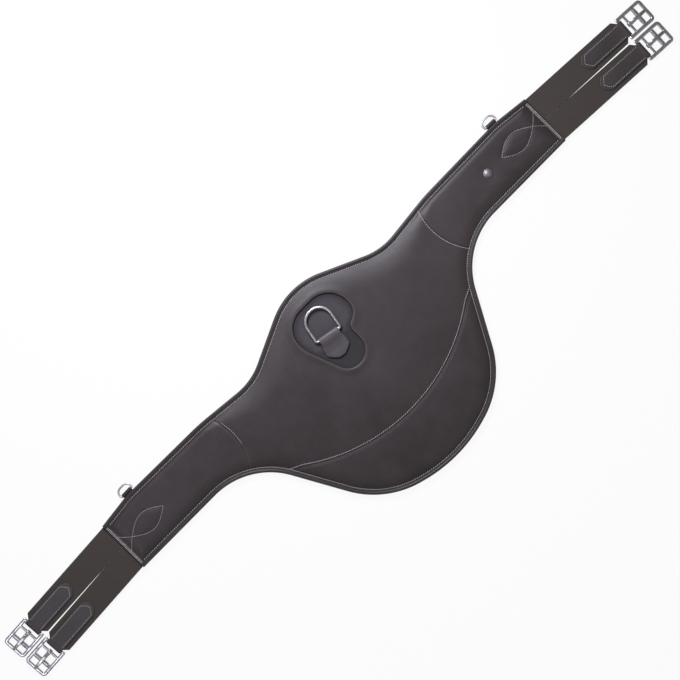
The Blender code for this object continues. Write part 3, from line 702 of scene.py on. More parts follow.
def leather_top(points):
    """Height of the outer face of the leather."""
    front, rear = gap_to(front_edge, points), gap_to(rear_edge, points)
    rim = np.minimum(front, rear)
    rear = np.minimum(rear, WING_END - np.abs(points[:, 0]))
    front_roll = np.interp(np.abs(points[:, 0]), [BELLY_END, WING_START], [BELLY_ROLL, WING_ROLL])
    share = np.minimum((front - FLANGE) / front_roll, (rear - FLANGE) / REAR_ROLL)
    rise = 1 - (1 - np.clip(share, 0, 1)) ** ROLL_POWER
    lower = inside(left_area, points) | inside(right_area, points) | inside(guard_area, points)
    seam = from_seams(points)
    dip = np.where(lower, mound(seam, LOWER_DIP), mound(seam, SEAM_DIP))
    height = RIM_TOP + rise * (CROWN + swell(points) - dip) + stuffing(points)
    height -= mound(rim - FLANGE, EDGE_DIP)
    hole = from_window(points)
    height -= LIP_DROP[0] * (1 - np.clip(hole / LIP_DROP[1], 0, 1)) ** 2
    height += mound(hole - LIP_IN, LIP)
    for loop, near in zip(eye_loops, (eyes[:2], eyes[2:])):
        cross = np.minimum(gap_to(near[0], points), gap_to(near[1], points))
        puff = EYE_PUFF * np.clip((cross - 1 * MM) / (7 * MM), 0, 1) ** 0.7
        height += np.where(inside(loop, points), puff, 0) * rise
        height -= mound(cross, EYE_DIP) * rise
    return height - mound(np.linalg.norm(points - STUD, axis=1), STUD_DIP)


print("rim top", RIM_TOP, "crown", CROWN)

# %% Triangles of the sheet
SEAM_GAPS = (-4.2, -2.6, -1.4, -0.6, -0.15, 0.15, 0.6, 1.4, 2.6, 4.2)
rim_rows = []
for depth in (2.6, 5.2, 6.4, 7.8, 10, 12.8, 16.2, 20):
    rim_rows += [beside(front_edge, -depth * MM), beside(rear_edge, depth * MM)]
seam_rows = [beside(line, gap * MM) for line in SEAMS for gap in SEAM_GAPS]
window_rows = [beside(window, -gap * MM, True) for gap in (0.0, 0.7, 1.5, 2.4, 3.4, 5.5, 8)]
end_rows = []
for depth in (1.5, 3, 6, 8, 11, 15, 20):
    for side in (-1, 1):
        x = side * (WING_END - depth * MM)
        end_rows.append(even(np.array([(x, -45 * MM), (x, 42 * MM)]), 3 * MM))
eye_rows = [beside(line, gap * MM) for line in eyes for gap in (-2, 0, 2)]
rows = in_body(rim_rows + seam_rows + end_rows + eye_rows)
sheet, sheet_faces = triangulate([body_loop] + window_rows, rows, LATTICE)
print("sheet", len(sheet), "points", len(sheet_faces), "triangles")

# %% [markdown]
# ## Leather finishes
#
# Bridle leather is close-grained: small round pebbles between fine creases, with slow changes of
# tone where the dye took differently. The grain is a cell texture bent by noise, used as bump.
# Tone and roughness follow noise at two sizes. A number painted on the mesh makes the leather paler
# and a little smoother: it marks where hands and buckles rub, and it is also a painted highlight on
# the window's lip and the ring tab's fold. A second one is painted shade, darker in the seams, round
# the window and on its floor, and along the rim.

# %% Leather
GRAIN = 1.1 * MM
FINE = (0.9 * MM, 0.07 * MM)


def leather(name, light, dark, grain=GRAIN, depth=0.09 * MM, rough=0.47, coat=0.18):
    """A leather between two tones, with pebbles as wide as grain and a bump as high as depth."""
    made = Finish(name, Specular_IOR_Level=0.42, Coat_Weight=coat, Coat_Roughness=0.42)
    place = made.place()
    slow = {"Vector": place, "Scale": 0.35 / grain, "Detail": 2.0}
    drift = made.node("ShaderNodeTexNoise", None, slow, "Color")
    bent = made.node("ShaderNodeVectorMath", {"operation": "SCALE"}, {0: drift, "Scale": 1.3 * grain})
    bent = made.node("ShaderNodeVectorMath", {"operation": "ADD"}, {0: place, 1: bent})
    pebble = made.cells(bent, 1 / grain)
    crease = made.ramp(made.cells(bent, 1 / grain, "DISTANCE_TO_EDGE"), 0.0, 0.16)
    pores = made.noise(place, 2.6 / grain, 3.0, 0.6)
    broad = made.noise(place, 7.0, 3.0)
    cloud = made.noise(place, 38.0, 4.0, 0.6)
    wear_and_highlight = made.drawn("wear_and_highlight")
    share = broad * 0.55 + cloud * 0.45 + crease * 0.12 - 0.06
    tone = made.tint(made.ramp(share, 0.28, 0.74), dark, light)
    pale = tuple(min(1.0, part * 2.1) for part in light[:3]) + (1,)
    deep = tuple(part * 0.3 for part in dark[:3]) + (1,)
    # Paler towards pale where the first number is painted: wear, and a painted highlight at the window's
    # lip and on the ring tab's fold.
    worn_and_lit = made.tint(wear_and_highlight * (0.35 + cloud * 0.5), tone, pale)
    # Darker towards deep where the second number is painted: painted shade in the seams, at the window and
    # along the rim.
    darkened = made.tint(made.drawn("painted_dark") * (0.7 + cloud * 0.4), worn_and_lit, deep)
    made.feed(made.skin, {"Base Color": darkened})
    made.feed(made.skin, {"Roughness": rough + cloud * 0.16 - 0.08 + (1 - crease) * 0.1 - wear_and_highlight * 0.08})
    made.bump(crease * 0.5 + (1 - pebble) * 0.35 + pores * 0.3 + cloud * 0.25, depth, 0.55)
    return made


outer_leather = leather("outer_leather", srgb(58, 50, 51), srgb(42, 35, 35))
rim_leather = leather("rim_leather", srgb(56, 49, 50), srgb(40, 35, 36), 0.8 * MM, 0.06 * MM, 0.42, 0.15)
lining_leather = leather(
    "soft_lining_leather", srgb(78, 66, 60), srgb(58, 48, 44), 0.9 * MM, 0.06 * MM, 0.55, 0.04
)
window_leather = leather("window_leather", srgb(70, 66, 71), srgb(54, 50, 54), *FINE, 0.5, 0.08)
tab_leather = leather("tab_leather", srgb(84, 79, 84), srgb(66, 61, 65), *FINE, 0.48, 0.1)
strap_leather = leather("strap_leather", srgb(66, 61, 61), srgb(50, 45, 46), *FINE, 0.45, 0.14)
print("leathers", [made.name for made in bpy.data.materials if "leather" in made.name])

# %% [markdown]
# ## From heights to pieces
#
# A panel is a closed solid: the outer face, the flesh side under it, and a wall along every cut.
# The same helper makes the lining and the foam. Panels meet along the seams with a narrow cut
# between them, as the CAD has it, and each is its own piece, so each can be repaired or recoloured.

# %% Solid pieces
def closed_mesh(name, points, faces):
    """A mesh whose faces all look outwards."""
    mesh = bpy.data.meshes.new(name)
    mesh.from_pydata([tuple(p) for p in points], [], as_tuples(faces))
    grown = bmesh.new()
    grown.from_mesh(mesh)
    bmesh.ops.recalc_face_normals(grown, faces=grown.faces)
    grown.to_mesh(mesh)
    grown.free()
    return mesh


def piece(name, points, faces, finish, body, nodes=(), sharp=40):
    """A mesh object that rides on a body and stands for CAD nodes."""
    mesh = closed_mesh(name, points, faces)
    mesh.materials.append(finish.material)
    mesh.shade_smooth()
    mesh.set_sharp_from_angle(angle=math.radians(sharp))
    thing = put(name, mesh)
    if body:
        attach(thing, body)
    if nodes:
        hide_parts(*nodes)
    return thing


def paint(thing, name, values):
    """Numbers for each point of a mesh, which a finish can read."""
    layer = thing.data.attributes.new(name, "FLOAT", "POINT")
    layer.data.foreach_set("value", np.asarray(values, np.float32))


def slab(points, faces, top, under):
    """Points and faces of a closed solid between two heights over the same triangles."""
    used = np.unique(faces)
    order = np.full(len(points), -1)
    order[used] = np.arange(len(used))
    count = len(used)
    high = np.column_stack([points[used], top[used]])
    low = np.column_stack([points[used], under[used]])
    upper = order[faces]
    edges = {}
    for a, b, c in upper:
        for i, j in ((a, b), (b, c), (c, a)):
            if (j, i) in edges:
                del edges[(j, i)]
            else:
                edges[(i, j)] = True
    lower = [(c + count, b + count, a + count) for a, b, c in upper]
    walls = [(i, i + count, j + count, j) for i, j in edges]
    return np.vstack([high, low]), [tuple(f) for f in upper] + lower + walls, used


one_slab = slab(np.eye(3)[:, :2], np.array([(0, 1, 2)]), np.ones(3), np.zeros(3))
print("a slab over one triangle has", len(one_slab[1]), "faces")

# %% Four panels
LEATHER_T = 2.0 * MM
FLOOR_LAP = 4.5 * MM
sheet_top = leather_top(sheet)
hole_gap = from_window(sheet)
sheet_under = sheet_top - LEATHER_T
on_floor = np.minimum(sheet_under, FLOOR_TOP + 0.1 * MM + hole_gap * 0.2)
sheet_under = np.where(hole_gap < FLOOR_LAP, on_floor, sheet_under)
seam_gap = from_seams(sheet)
# Paler beside the seams, where they rub, and a painted highlight on the lip round the window.
sheet_wear_and_highlight = 0.3 * hill(seam_gap - 1.2 * MM, 1.6 * MM) + 0.8 * hill(hole_gap - 1.8 * MM, 1.6 * MM)
# Painted shade: darker in the seam grooves, at the window's edge and in the groove along the rim.
sheet_shade = 0.7 * hill(seam_gap, 0.9 * MM) + 0.5 * hill(hole_gap, 0.8 * MM)
sheet_shade += 0.5 * hill(from_rim(sheet) - 5.4 * MM, 1.2 * MM)
middle = sheet[sheet_faces].mean(1)
cut = from_seams(middle) > 0.5 * CUT
in_left = inside(left_area, middle) & cut
in_right = inside(right_area, middle) & cut
in_guard = inside(guard_area, middle) & cut & ~in_left & ~in_right
in_main = cut & ~in_left & ~in_right & ~in_guard & ~inside(window, middle)
PANELS = [("main", in_main), ("guard", in_guard), ("left_wing", in_left), ("right_wing", in_right)]
for name, keep in PANELS:
    points, faces, used = slab(sheet, sheet_faces[keep], sheet_top, sheet_under)
    node = name + "_panel"
    made = piece(name + "_leather", points, faces, outer_leather, "girth_body", [node])
    paint(made, "wear_and_highlight", np.clip(np.tile(sheet_wear_and_highlight[used], 2), 0, 1))
    paint(made, "painted_dark", np.clip(np.tile(sheet_shade[used], 2), 0, 1))
    print(made.name, len(points), "points")

# %% [markdown]
# ## Lining and core
#
# The side that lies on the horse is a plain soft leather, a little paler, that turns up into the
# rim. Between the two leathers are the foam core and the webbing that carries the load. They are
# hidden, but they are made as well, so that the part is whole when it is taken apart. The webbing
# is woven like the elastic, so it comes later, with that.

# %% Lining
LIFT = 1.5 * MM
LINING_T = 1.8 * MM
LINING_END = 3.4 * MM
plain_rows = in_body([beside(front_edge, -6 * MM), beside(rear_edge, 6 * MM)] + eye_rows)
plain, plain_faces = triangulate([body_loop], plain_rows, 6 * MM)


def lining_low(points):
    """Height of the lining's lower face: flat, turned up at the rim, drawn in along the stitches."""
    rim = from_rim(points)
    share = np.clip((rim - FLANGE) / (9 * MM), 0, 1)
    low = LIFT * (1 - share * share * (3 - 2 * share)) + 0.25 * MM * hill(rim - 7.2 * MM, 1.6 * MM)
    for line in eyes:
        low += 0.7 * MM * hill(gap_to(line, points), 2.2 * MM)
    return low + 0.7 * MM * hill(np.abs(points[:, 0]) - (WING_END - 3.6 * MM), 3 * MM)


lining_under = lining_low(plain)
end_share = np.clip((np.abs(plain[:, 0]) - 417 * MM) / (6 * MM), 0, 1)
lining_top = lining_under + LINING_T
lining_top = np.maximum(lining_top, lining_top + (LINING_END - lining_top) * end_share)
points, faces, used = slab(plain, plain_faces, lining_top, lining_under)
lining = piece("lining_skin", points, faces, lining_leather, "girth_body", ["lining"])
print("lining", len(lining.data.vertices), "points")

# %% Foam
CORE_INSET = 8 * MM
CORE_END = 394 * MM
CORE_BASE = 3.7 * MM
POCKET_TOP = 6.2 * MM
foam = Finish("foam", Roughness=0.95)
bubbles = foam.cells(foam.place(), 700)
foam.feed(foam.skin, {"Base Color": foam.tint(bubbles, srgb(120, 112, 96), srgb(176, 168, 148))})
foam.bump(bubbles, 0.4 * MM, 0.6)
plain_top = leather_top(plain) - LEATHER_T - 0.5 * MM
pocket = inside(window, plain) | (from_window(plain) < 11 * MM)
plain_top = np.where(pocket, POCKET_TOP, plain_top)
plain_top = np.where(np.linalg.norm(plain - STUD, axis=1) < 8 * MM, 8.4 * MM, plain_top)
corners = plain[plain_faces]
kept = from_rim(corners.reshape(-1, 2)).reshape(-1, 3).min(1) > CORE_INSET
kept &= np.abs(corners[..., 0]).max(1) < CORE_END
points, faces, used = slab(plain, plain_faces[kept], plain_top, np.full(len(plain), CORE_BASE))
core = piece("foam_filling", points, faces, foam, "girth_body", ["foam_core"])
print("foam", len(core.data.vertices), "points")

# %% [markdown]
# ## The rolled rim
#
# Both long edges are closed by a strip of thinner leather that is rolled round them and sewn
# down. Seen from above it is a round bead with a flat lip towards the stitches. A section drawn
# once is swept along each edge. Small uneven pleats along the way keep it from looking moulded.

# %% Sweeping a section
def bands(rings, size, closed=False):
    """Faces between neighbouring rings of points, with a cap at both ends unless it is closed."""
    faces = []
    for i in range(rings if closed else rings - 1):
        one, two = i * size, ((i + 1) % rings) * size
        faces += [(one + k, one + (k + 1) % size, two + (k + 1) % size, two + k) for k in range(size)]
    if not closed:
        faces += [tuple(range(size))[::-1], tuple(range(size * (rings - 1), size * rings))]
    return faces


def sweep(path, section, fixed, closed=False, wide=None, scale=None):
    """Mesh of a section moved along a path. A section point is (out, share, extra): out runs along
    fixed x path, and the way along fixed is share times wide plus extra."""
    path = np.asarray(path, float)
    section = np.asarray(section, float)
    fixed = np.asarray(fixed, float)
    count = len(path)
    other = np.cross(fixed, headings(path, closed))
    wide = np.ones(count) if wide is None else np.asarray(wide)
    scale = np.ones(count) if scale is None else np.asarray(scale)
    out = section[None, :, 0] * scale[:, None]
    flat = (section[None, :, 1] * wide[:, None] + section[None, :, 2]) * scale[:, None]
    points = path[:, None] + other[:, None] * out[..., None] + fixed * flat[..., None]
    return points.reshape(-1, 3), bands(count, len(section), closed)


def raised(line, height=0.0):
    """A flat line as a 3-D one."""
    return np.column_stack([line, np.full(len(line), height)])


def upright(one, two):
    """Points (one, 0, two), on a plane that stands on edge."""
    return np.column_stack([one, np.zeros(len(one)), two])


def spokes(sides, first=0):
    """Angles all round, evenly spaced."""
    return (np.arange(sides) + first) * 2 * np.pi / sides


def round_section(radius, sides):
    return upright(radius * np.cos(spokes(sides)), radius * np.sin(spokes(sides)))


def joined(parts):
    """Several (points, faces) as one."""
    points, faces, first = [], [], 0
    for some_points, some_faces in parts:
        points.append(some_points)
        faces += [tuple(i + first for i in face) for face in some_faces]
        first += len(some_points)
    return np.vstack(points), faces


wire = sweep([(0, 0, 0), (1, 0, 0)], round_section(0.1, 8), (0, 0, 1))
print("a short wire has", len(wire[0]), "points and", len(wire[1]), "faces")

# %% Rim strips
BEAD = [
    (-5, 8.85, 0), (0.3, 8.8, 0.1), (0.3, 1.2, 0.1), (-5, 1.2, 0), (-5, 0.4, 0.3),
    (-4, 0.05, 1.0), (0.2, 0.0, 1.5), (1.5, 1.5, 1.5), (1.5, 8.3, 1.7),
    (0.3, 10.2, 1.6), (-2.0, 10.2, 1.4), (-3.1, 9.5, 1.0), (-5, 9.4, 0.25),
]
bead = rounded([(n * MM, z * MM) for n, z, r in BEAD], [r * MM for n, z, r in BEAD], True)
PLEAT = 0.09 * MM
pleats = np.random.default_rng(11)


def rim_strip(name, line, outward):
    """The rolled rim along one edge, with small pleats in its upper face."""
    count = len(line)
    ripple = np.convolve(pleats.normal(0, 1, count + 8), np.ones(3) / 3, "same")[4:-4]
    section = upright(bead[:, 0] * outward, bead[:, 1])
    points, faces = sweep(raised(line), section, (0, 0, 1))
    points = points.reshape(count, len(bead), 3)
    bulge = np.clip((bead[:, 0] + 3 * MM) / (3 * MM), 0, 1) * (bead[:, 0] != 0.3 * MM)
    points[..., 2] += PLEAT * ripple[:, None] * bulge * np.where(bead[:, 1] > 5 * MM, 1, 0)
    points = points.reshape(-1, 3)
    made = piece(name + "_roll", points, faces, rim_leather, "girth_body", [name])
    ridge = hill(bead[:, 0] - 0.2 * MM, 1.4 * MM) * (bead[:, 1] > 8.9 * MM)
    paint(made, "wear_and_highlight", (ridge * (0.3 + 0.3 * ripple[:, None])).ravel())
    print(made.name, len(points), "points")


rim_strip("front_binding", front_edge, 1)
rim_strip("rear_binding", rear_edge, -1)

# %% [markdown]
# ## Thread
#
# Saddlery is sewn with waxed thread, here 0.6 to 1.2 mm thick, at about three millimetres a stitch.
# Each stitch is a small arched bead that dives into the leather at both ends and lies a little
# askew, as a lockstitch does. All the stitches of one group are one mesh on the body they are sewn
# to. The seam of the left wing is drawn in deeper, and its thread is painted darker.

# %% Waxed thread
DARKENED_THREAD = srgb(50, 46, 47)


def waxed(name, dark, light):
    """Twisted thread between two tones, and darker where the mesh is painted so."""
    made = Finish(name)
    twist = made.wave((made.noise(made.place(), 900.0) + 1) * 40.0)
    shade = made.noise(made.place(), 260.0, 3.0)
    darkened = made.tint(made.drawn("painted_dark"), made.tint(shade, dark, light), DARKENED_THREAD)
    made.feed(made.skin, {"Base Color": darkened, "Roughness": 0.52 + shade * 0.2})
    made.bump(twist, 0.05 * MM, 0.5)
    return made


thread = waxed("waxed_thread", srgb(150, 147, 148), srgb(212, 209, 210))
dark_thread = waxed("dark_thread", srgb(78, 74, 75), srgb(118, 113, 114))
print("thread", [made.material.name for made in (thread, dark_thread)])

# %% Rows of stitches
THREAD = 0.54 * MM
SIDES = 6
STITCH_AT = np.array([0.0, 0.14, 0.5, 0.86, 1.0])
STITCH_SIZE = np.array([0.4, 0.85, 1.0, 0.85, 0.4])
STITCH_LIFT = np.array([-0.55, 0.15, 0.5, 0.15, -0.55])


def stitch_row(line, pitch=3.4 * MM, radius=THREAD, up=(0, 0, 1), fill=0.8):
    """Points and faces of the stitches along a 3-D line."""
    run = run_of(line)
    count = max(1, int(run[-1] / pitch))
    middle = (np.arange(count) + 0.5) * run[-1] / count
    half = 0.5 * fill * run[-1] / count
    start = along_run(line, run, middle - half)
    along = along_run(line, run, middle + half) - start
    up = np.asarray(up, float)
    side = np.cross(up, along)
    side /= np.linalg.norm(side, axis=1)[:, None]
    angle = spokes(SIDES)
    askew = side * radius * 0.5
    spine = start[:, None] + along[:, None] * STITCH_AT[None, :, None]
    slant = askew[:, None] * (2 * STITCH_AT - 1)[None, :, None]
    spine += slant + up * (STITCH_LIFT * radius)[None, :, None]
    round_part = side[:, None, None] * np.cos(angle)[:, None] + up * np.sin(angle)[:, None]
    points = spine[:, :, None] + round_part * (STITCH_SIZE * radius)[None, :, None, None]
    size = len(STITCH_AT) * SIDES
    one = bands(len(STITCH_AT), SIDES)
    faces = [tuple(i + n * size for i in face) for n in range(count) for face in one]
    return points.reshape(-1, 3), faces


def on_leather(line, lift=0.1 * MM):
    """A line on the outer leather, laid on its surface."""
    line = line[inside(body_loop, line)]
    return np.column_stack([line, leather_top(line) + lift])


def on_lining(line):
    """A line on the lining's lower face, where the same threads come out."""
    line = line[inside(body_loop, line)]
    return np.column_stack([line, lining_low(line) - 0.1 * MM])


def sewn(name, rows, body, finish=thread):
    """Rows of stitches as one piece."""
    points, faces = joined(rows)
    made = piece(name, points, faces, finish, body)
    print(name, len(points) // (SIDES * len(STITCH_AT)), "stitches")
    return made


one_row = stitch_row(raised(np.array([(0, 0), (100 * MM, 0)])))
print("stitches in 100 mm", len(one_row[0]) // (SIDES * len(STITCH_AT)))

# %% Stitching on the body
DOWN = (0, 0, -1)
EDGE_ROW = 6.2 * MM
EDGE_ROW_END = 424 * MM
SEAM_ROW = 2.2 * MM
rows = []
for line, side in ((front_edge, -1), (rear_edge, 1)):
    row = beside(line, side * EDGE_ROW)
    row = row[np.abs(row[:, 0]) <= EDGE_ROW_END]
    rows.append(stitch_row(on_leather(row)))
    rows.append(stitch_row(on_lining(row), up=DOWN))
sewn("edge_stitching", rows, "girth_body")
rows = [stitch_row(on_leather(beside(left_seam, SEAM_ROW)), 3.2 * MM, 0.4 * MM)]
rows.append(stitch_row(on_leather(beside(right_seam, -SEAM_ROW)), 3.2 * MM))
rows.append(stitch_row(on_leather(beside(guard_seam, SEAM_ROW))))
made = sewn("seam_stitching", rows, "girth_body")
left_end = left_seam[:, 0].max()
# The thread of the left wing seam is painted darker.
paint(made, "painted_dark", [0.9 if point.co.x < left_end else 0.0 for point in made.data.vertices])
guard_row = stitch_row(on_leather(beside(guard_seam, -4.2 * MM)), 3.4 * MM, 0.3 * MM)
sewn("guard_stitching", [guard_row], "girth_body", dark_thread)
ring_row = looped(even(beside(window, -2.6 * MM, True), 1.5 * MM, True))
sewn("window_stitching", [stitch_row(on_leather(ring_row), 3.0 * MM, 0.3 * MM)], "girth_body", dark_thread)
rows = [stitch_row(on_leather(line), 2.8 * MM, 0.38 * MM) for line in eyes]
rows += [stitch_row(on_lining(line), 2.8 * MM, 0.34 * MM, DOWN) for line in eyes]
for side in (-1, 1):
    for depth in (1.8, 3.8):
        x = side * (WING_END - depth * MM)
        end_row = even(np.array([(x, -38 * MM), (x, 33 * MM)]), 2 * MM)
        rows.append(stitch_row(on_leather(end_row), 2.6 * MM, 0.62 * MM, fill=0.9))
        rows.append(stitch_row(on_lining(end_row), 2.6 * MM, 0.3 * MM, DOWN, 0.9))
sewn("wing_stitching", rows, "girth_body")

# %% [markdown]
# ## Steel
#
# The buckles and rings are cast and polished, then handled for years: bright, with fine hair
# scratches in every direction and a dull film where fingers and leather don't reach. Stretched
# noise gives the scratches, and a broad noise gives the film, in colour and in roughness.

# %% Steel finishes
def steel(name, bright, film, rough):
    """Metal between its bright colour and the colour of its film."""
    made = Finish(name, Metallic=1.0)
    place = made.place()
    streak = made.noise(made.stretch(place, (260.0, 2600.0, 900.0)), 1.0, 3.0, 0.7)
    cross = made.noise(made.stretch(place, (2400.0, 300.0, 700.0)), 1.0, 2.0, 0.7)
    haze = made.noise(place, 160.0, 4.0, 0.6)
    dull = made.ramp(haze, 0.42, 0.72)
    made.feed(made.skin, {"Base Color": made.tint(dull, bright, film)})
    made.feed(made.skin, {"Roughness": rough + dull * 0.14 + streak * 0.1 - 0.05})
    made.bump(streak + cross * 0.6, 0.02 * MM, 0.15)
    return made


polished = steel("polished_steel", srgb(200, 200, 203), srgb(146, 145, 149), 0.24)
ring_steel = steel("ring_steel", srgb(208, 208, 212), srgb(156, 155, 160), 0.32)
bright = steel("bright_nickel", srgb(216, 216, 221), srgb(176, 175, 181), 0.44)
satin = steel("satin_steel", srgb(160, 158, 162), srgb(122, 120, 124), 0.5)
print("steel", [made.material.name for made in (polished, ring_steel, bright, satin)])

# %% [markdown]
# ## Buckles
#
# Each buckle is a frame with three cross bars. The leather folds round the first, the tongue
# hangs on the second, and a loose roller turns on the third, so that the saddle's strap slides as
# it is pulled tight. All four are alike, so each part is drawn once, in the buckle's own
# measures: u runs outwards from the heel bar, v across, w up. Then it is set down in four places.

# %% Places of the four elastic ends
FOLD_AT = (437 * MM, -2.6 * MM, 4.8 * MM)
SPLAY = 3.3
LANE_STEP = 20.45 * MM
HEEL = 166.7 * MM
LANES = []
for side, sign in (("left", -1), ("right", 1)):
    heading = math.radians(-SPLAY if sign > 0 else 180 + SPLAY)
    start = Matrix.Translation((sign * FOLD_AT[0], *FOLD_AT[1:])) @ Matrix.Rotation(heading, 4, "Z")
    for row, step in (("front", 1), ("rear", -1)):
        offset = sign * step * LANE_STEP
        LANES.append((side + "_" + row, start @ Matrix.Translation((0, offset, 0)), -np.sign(offset)))


def moved(matrix, points):
    """Points carried by a matrix."""
    turn = np.array(matrix.to_3x3())
    return np.asarray(points) @ turn.T + np.array(matrix.translation)


def shift_u(matrix, u):
    return matrix @ Matrix.Translation((u, 0, 0))


print("lanes", [name for name, matrix, inner in LANES])

# %% Frame
BAR_R = 2.0 * MM
BAR_HALF = 16 * MM
RAIL_MID = 16.3 * MM
RAIL_START = -2.5 * MM
RAIL_HALF = (2.75 * MM, 2.1 * MM)
END_MID = 41.4 * MM
END_CORNER = 3.2 * MM
TONGUE_BAR = 10.5 * MM
ROLLER_BAR = 27.3 * MM


def soft_square(half_out, half_up, sides=20, power=2.6):
    """Section of a cast bar: a square with full, round corners."""
    c, s = np.cos(spokes(sides, 0.5)), np.sin(spokes(sides, 0.5))
    out = half_out * np.sign(c) * np.abs(c) ** (2 / power)
    up = half_up * np.sign(s) * np.abs(s) ** (2 / power)
    return upright(out, up)


def fused(parts):
    """Closed shapes melted into one mesh by union."""
    things = [put("part", closed_mesh("part", points, faces)) for points, faces in parts]
    base = things[0]
    for other in things[1:]:
        step = base.modifiers.new("union", "BOOLEAN")
        step.operation = "UNION"
        step.solver = "EXACT"
        step.object = other
    done = bpy.data.meshes.new_from_object(base.evaluated_get(bpy.context.evaluated_depsgraph_get()))
    points = np.array([tuple(v.co) for v in done.vertices])
    faces = [tuple(f.vertices) for f in done.polygons]
    for thing in things:
        bpy.data.objects.remove(thing, do_unlink=True)
    return points, faces


corners = [(RAIL_START, -RAIL_MID), (END_MID, -RAIL_MID), (END_MID, RAIL_MID), (RAIL_START, RAIL_MID)]
track = raised(even(rounded(corners, [0, END_CORNER, END_CORNER, 0]), 0.7 * MM))
taper = np.ones(len(track))
taper[[0, -1]] = 0.62
taper[[1, -2]] = 0.9
frame_parts = [sweep(track, soft_square(*RAIL_HALF), (0, 0, 1), scale=taper)]
for u in (0, TONGUE_BAR, ROLLER_BAR):
    bar = np.array([(u, share * BAR_HALF, 0) for share in (-1, -0.5, 0, 0.5, 1)])
    frame_parts.append(sweep(bar, round_section(BAR_R, 20), (0, 0, 1)))
frame_shape = fused(frame_parts)
print("frame", len(frame_shape[0]), "points")

# %% Roller
def turned(profile, sides, axis="z"):
    """Solid of revolution from a closed loop of (radius, height)."""
    profile = np.asarray(profile, float)
    rings = []
    for angle in spokes(sides):
        one, two = profile[:, 0] * math.cos(angle), profile[:, 0] * math.sin(angle)
        rings.append(np.column_stack([one, two, profile[:, 1]]))
    points = np.vstack(rings)
    if axis == "v":
        points = points[:, [0, 2, 1]]
    return points, bands(sides, len(profile), True)


SLEEVE_END = [(2.35, -12.9), (2.7, -13.1), (3.1, -13.05), (3.4, -12.7), (3.4, -11.2)]
SLEEVE_END += [(3.24, -10.95), (3.24, -10.5), (3.4, -10.25)]
sleeve = SLEEVE_END + [(radius, -v) for radius, v in reversed(SLEEVE_END)]
roller_shape = turned(np.array(sleeve) * MM, 32, "v")
print("roller", len(roller_shape[0]), "points")

# %% Tongue
SHANK = [(2.4, 3.2), (4.7, 3.8), (7.8, 4.4), (11.5, 4.8), (16.8, 4.92), (21.2, 4.75)]
SHANK += [(25.7, 4.2), (28.8, 3.6), (30.9, 3.3), (31.9, 3.12), (32.45, 3.0)]
CURL_SHARE = 0.36
THICK_AT = [0, 4, 9, 21, 28.7, 31.7, 32.5]
THICK = [1.3, 1.7, 2.4, 2.4, 1.9, 1.4, 0.7]
WIDE_AT = [0, 6, 21, 28.7, 31.7, 32.5]
WIDE = [3.2, 2.9, 2.7, 2.3, 1.6, 0.7]
tongue_line = even(np.array(arc(2.95, -52, -271, -9) + SHANK), 0.5) * MM
reach = tongue_line[:, 0] / MM
on_shank = np.arange(len(reach)) > len(reach) * CURL_SHARE
thick = np.where(on_shank, np.interp(reach, THICK_AT, THICK), THICK[0])
half_wide = np.where(on_shank, np.interp(reach, WIDE_AT, WIDE), WIDE[0])
tongue_path = upright(*tongue_line.T)
tongue_points, tongue_faces = sweep(tongue_path, soft_square(1.0, 1.0, 20, 3.2), (0, 1, 0))
spread = tongue_points.reshape(len(reach), -1, 3) - tongue_path[:, None]
spread[..., [0, 2]] *= (thick / 2 * MM)[:, None, None]
spread[..., 1] *= (half_wide * MM)[:, None]
tongue_shape = ((tongue_path[:, None] + spread).reshape(-1, 3), tongue_faces)
print("tongue", len(tongue_path), "rings")

# %% Four buckles
BUCKLE = [("frame", frame_shape, 0)]
BUCKLE += [("roller", roller_shape, ROLLER_BAR), ("tongue", tongue_shape, TONGUE_BAR)]
for name, lane, inner in LANES:
    heel = shift_u(lane, HEEL)
    for part, shape, u in BUCKLE:
        points = moved(shift_u(heel, u), shape[0])
        body = name + "_" + part
        piece(body + "_steel", points, shape[1], polished, body, [body], 32)
print("buckles", len(LANES), "of", len(BUCKLE), "pieces")

# %% [markdown]
# ## Leather folds at the buckles
#
# A short strap goes round each heel bar, and its two leaves are sewn to the elastic between them.
# The inner ends are cut to a blunt point and the edges are rounded with a slicker. A strap is a
# thin section with round edges, swept along the fold, with its own width at each point.

# %% Folded straps
def strap_section(thick, across=9, edge=0.55):
    """Section of a leather band: (out, share, extra), crowned a little, with round edges."""
    half = thick / 2
    share = np.linspace(-1, 1, across)
    top = [(half * (1 - 0.1 * s * s), s * 0.94, 0.0) for s in share]
    round_edge = []
    for a in np.linspace(60, -60, 5):
        c, s = math.cos(math.radians(a)), math.sin(math.radians(a))
        round_edge.append((half * 0.9 * s, 0.94, edge * thick * (c - 0.5) + 0.2 * thick))
    under = [(-out, -s, extra) for out, s, extra in top]
    other_edge = [(-out, -s, -extra) for out, s, extra in round_edge]
    return np.array(top + round_edge + under + other_edge)


def fold_path(points, step=0.8 * MM):
    """The middle line of a folded strap, from (u, w) in millimetres."""
    return upright(*even(np.array(points) * MM, step).T)


def blunt(u, tip, run, full, least):
    """Half width near a blunt point."""
    share = np.clip((u - tip) / run, 0, 1)
    return least + (full - least) * (1 - (1 - share) ** 1.5)


print("half width near a blunt point", blunt(np.array([0, 2, 5, 10]), 0, 10, 13.0, 3.6).round(1))

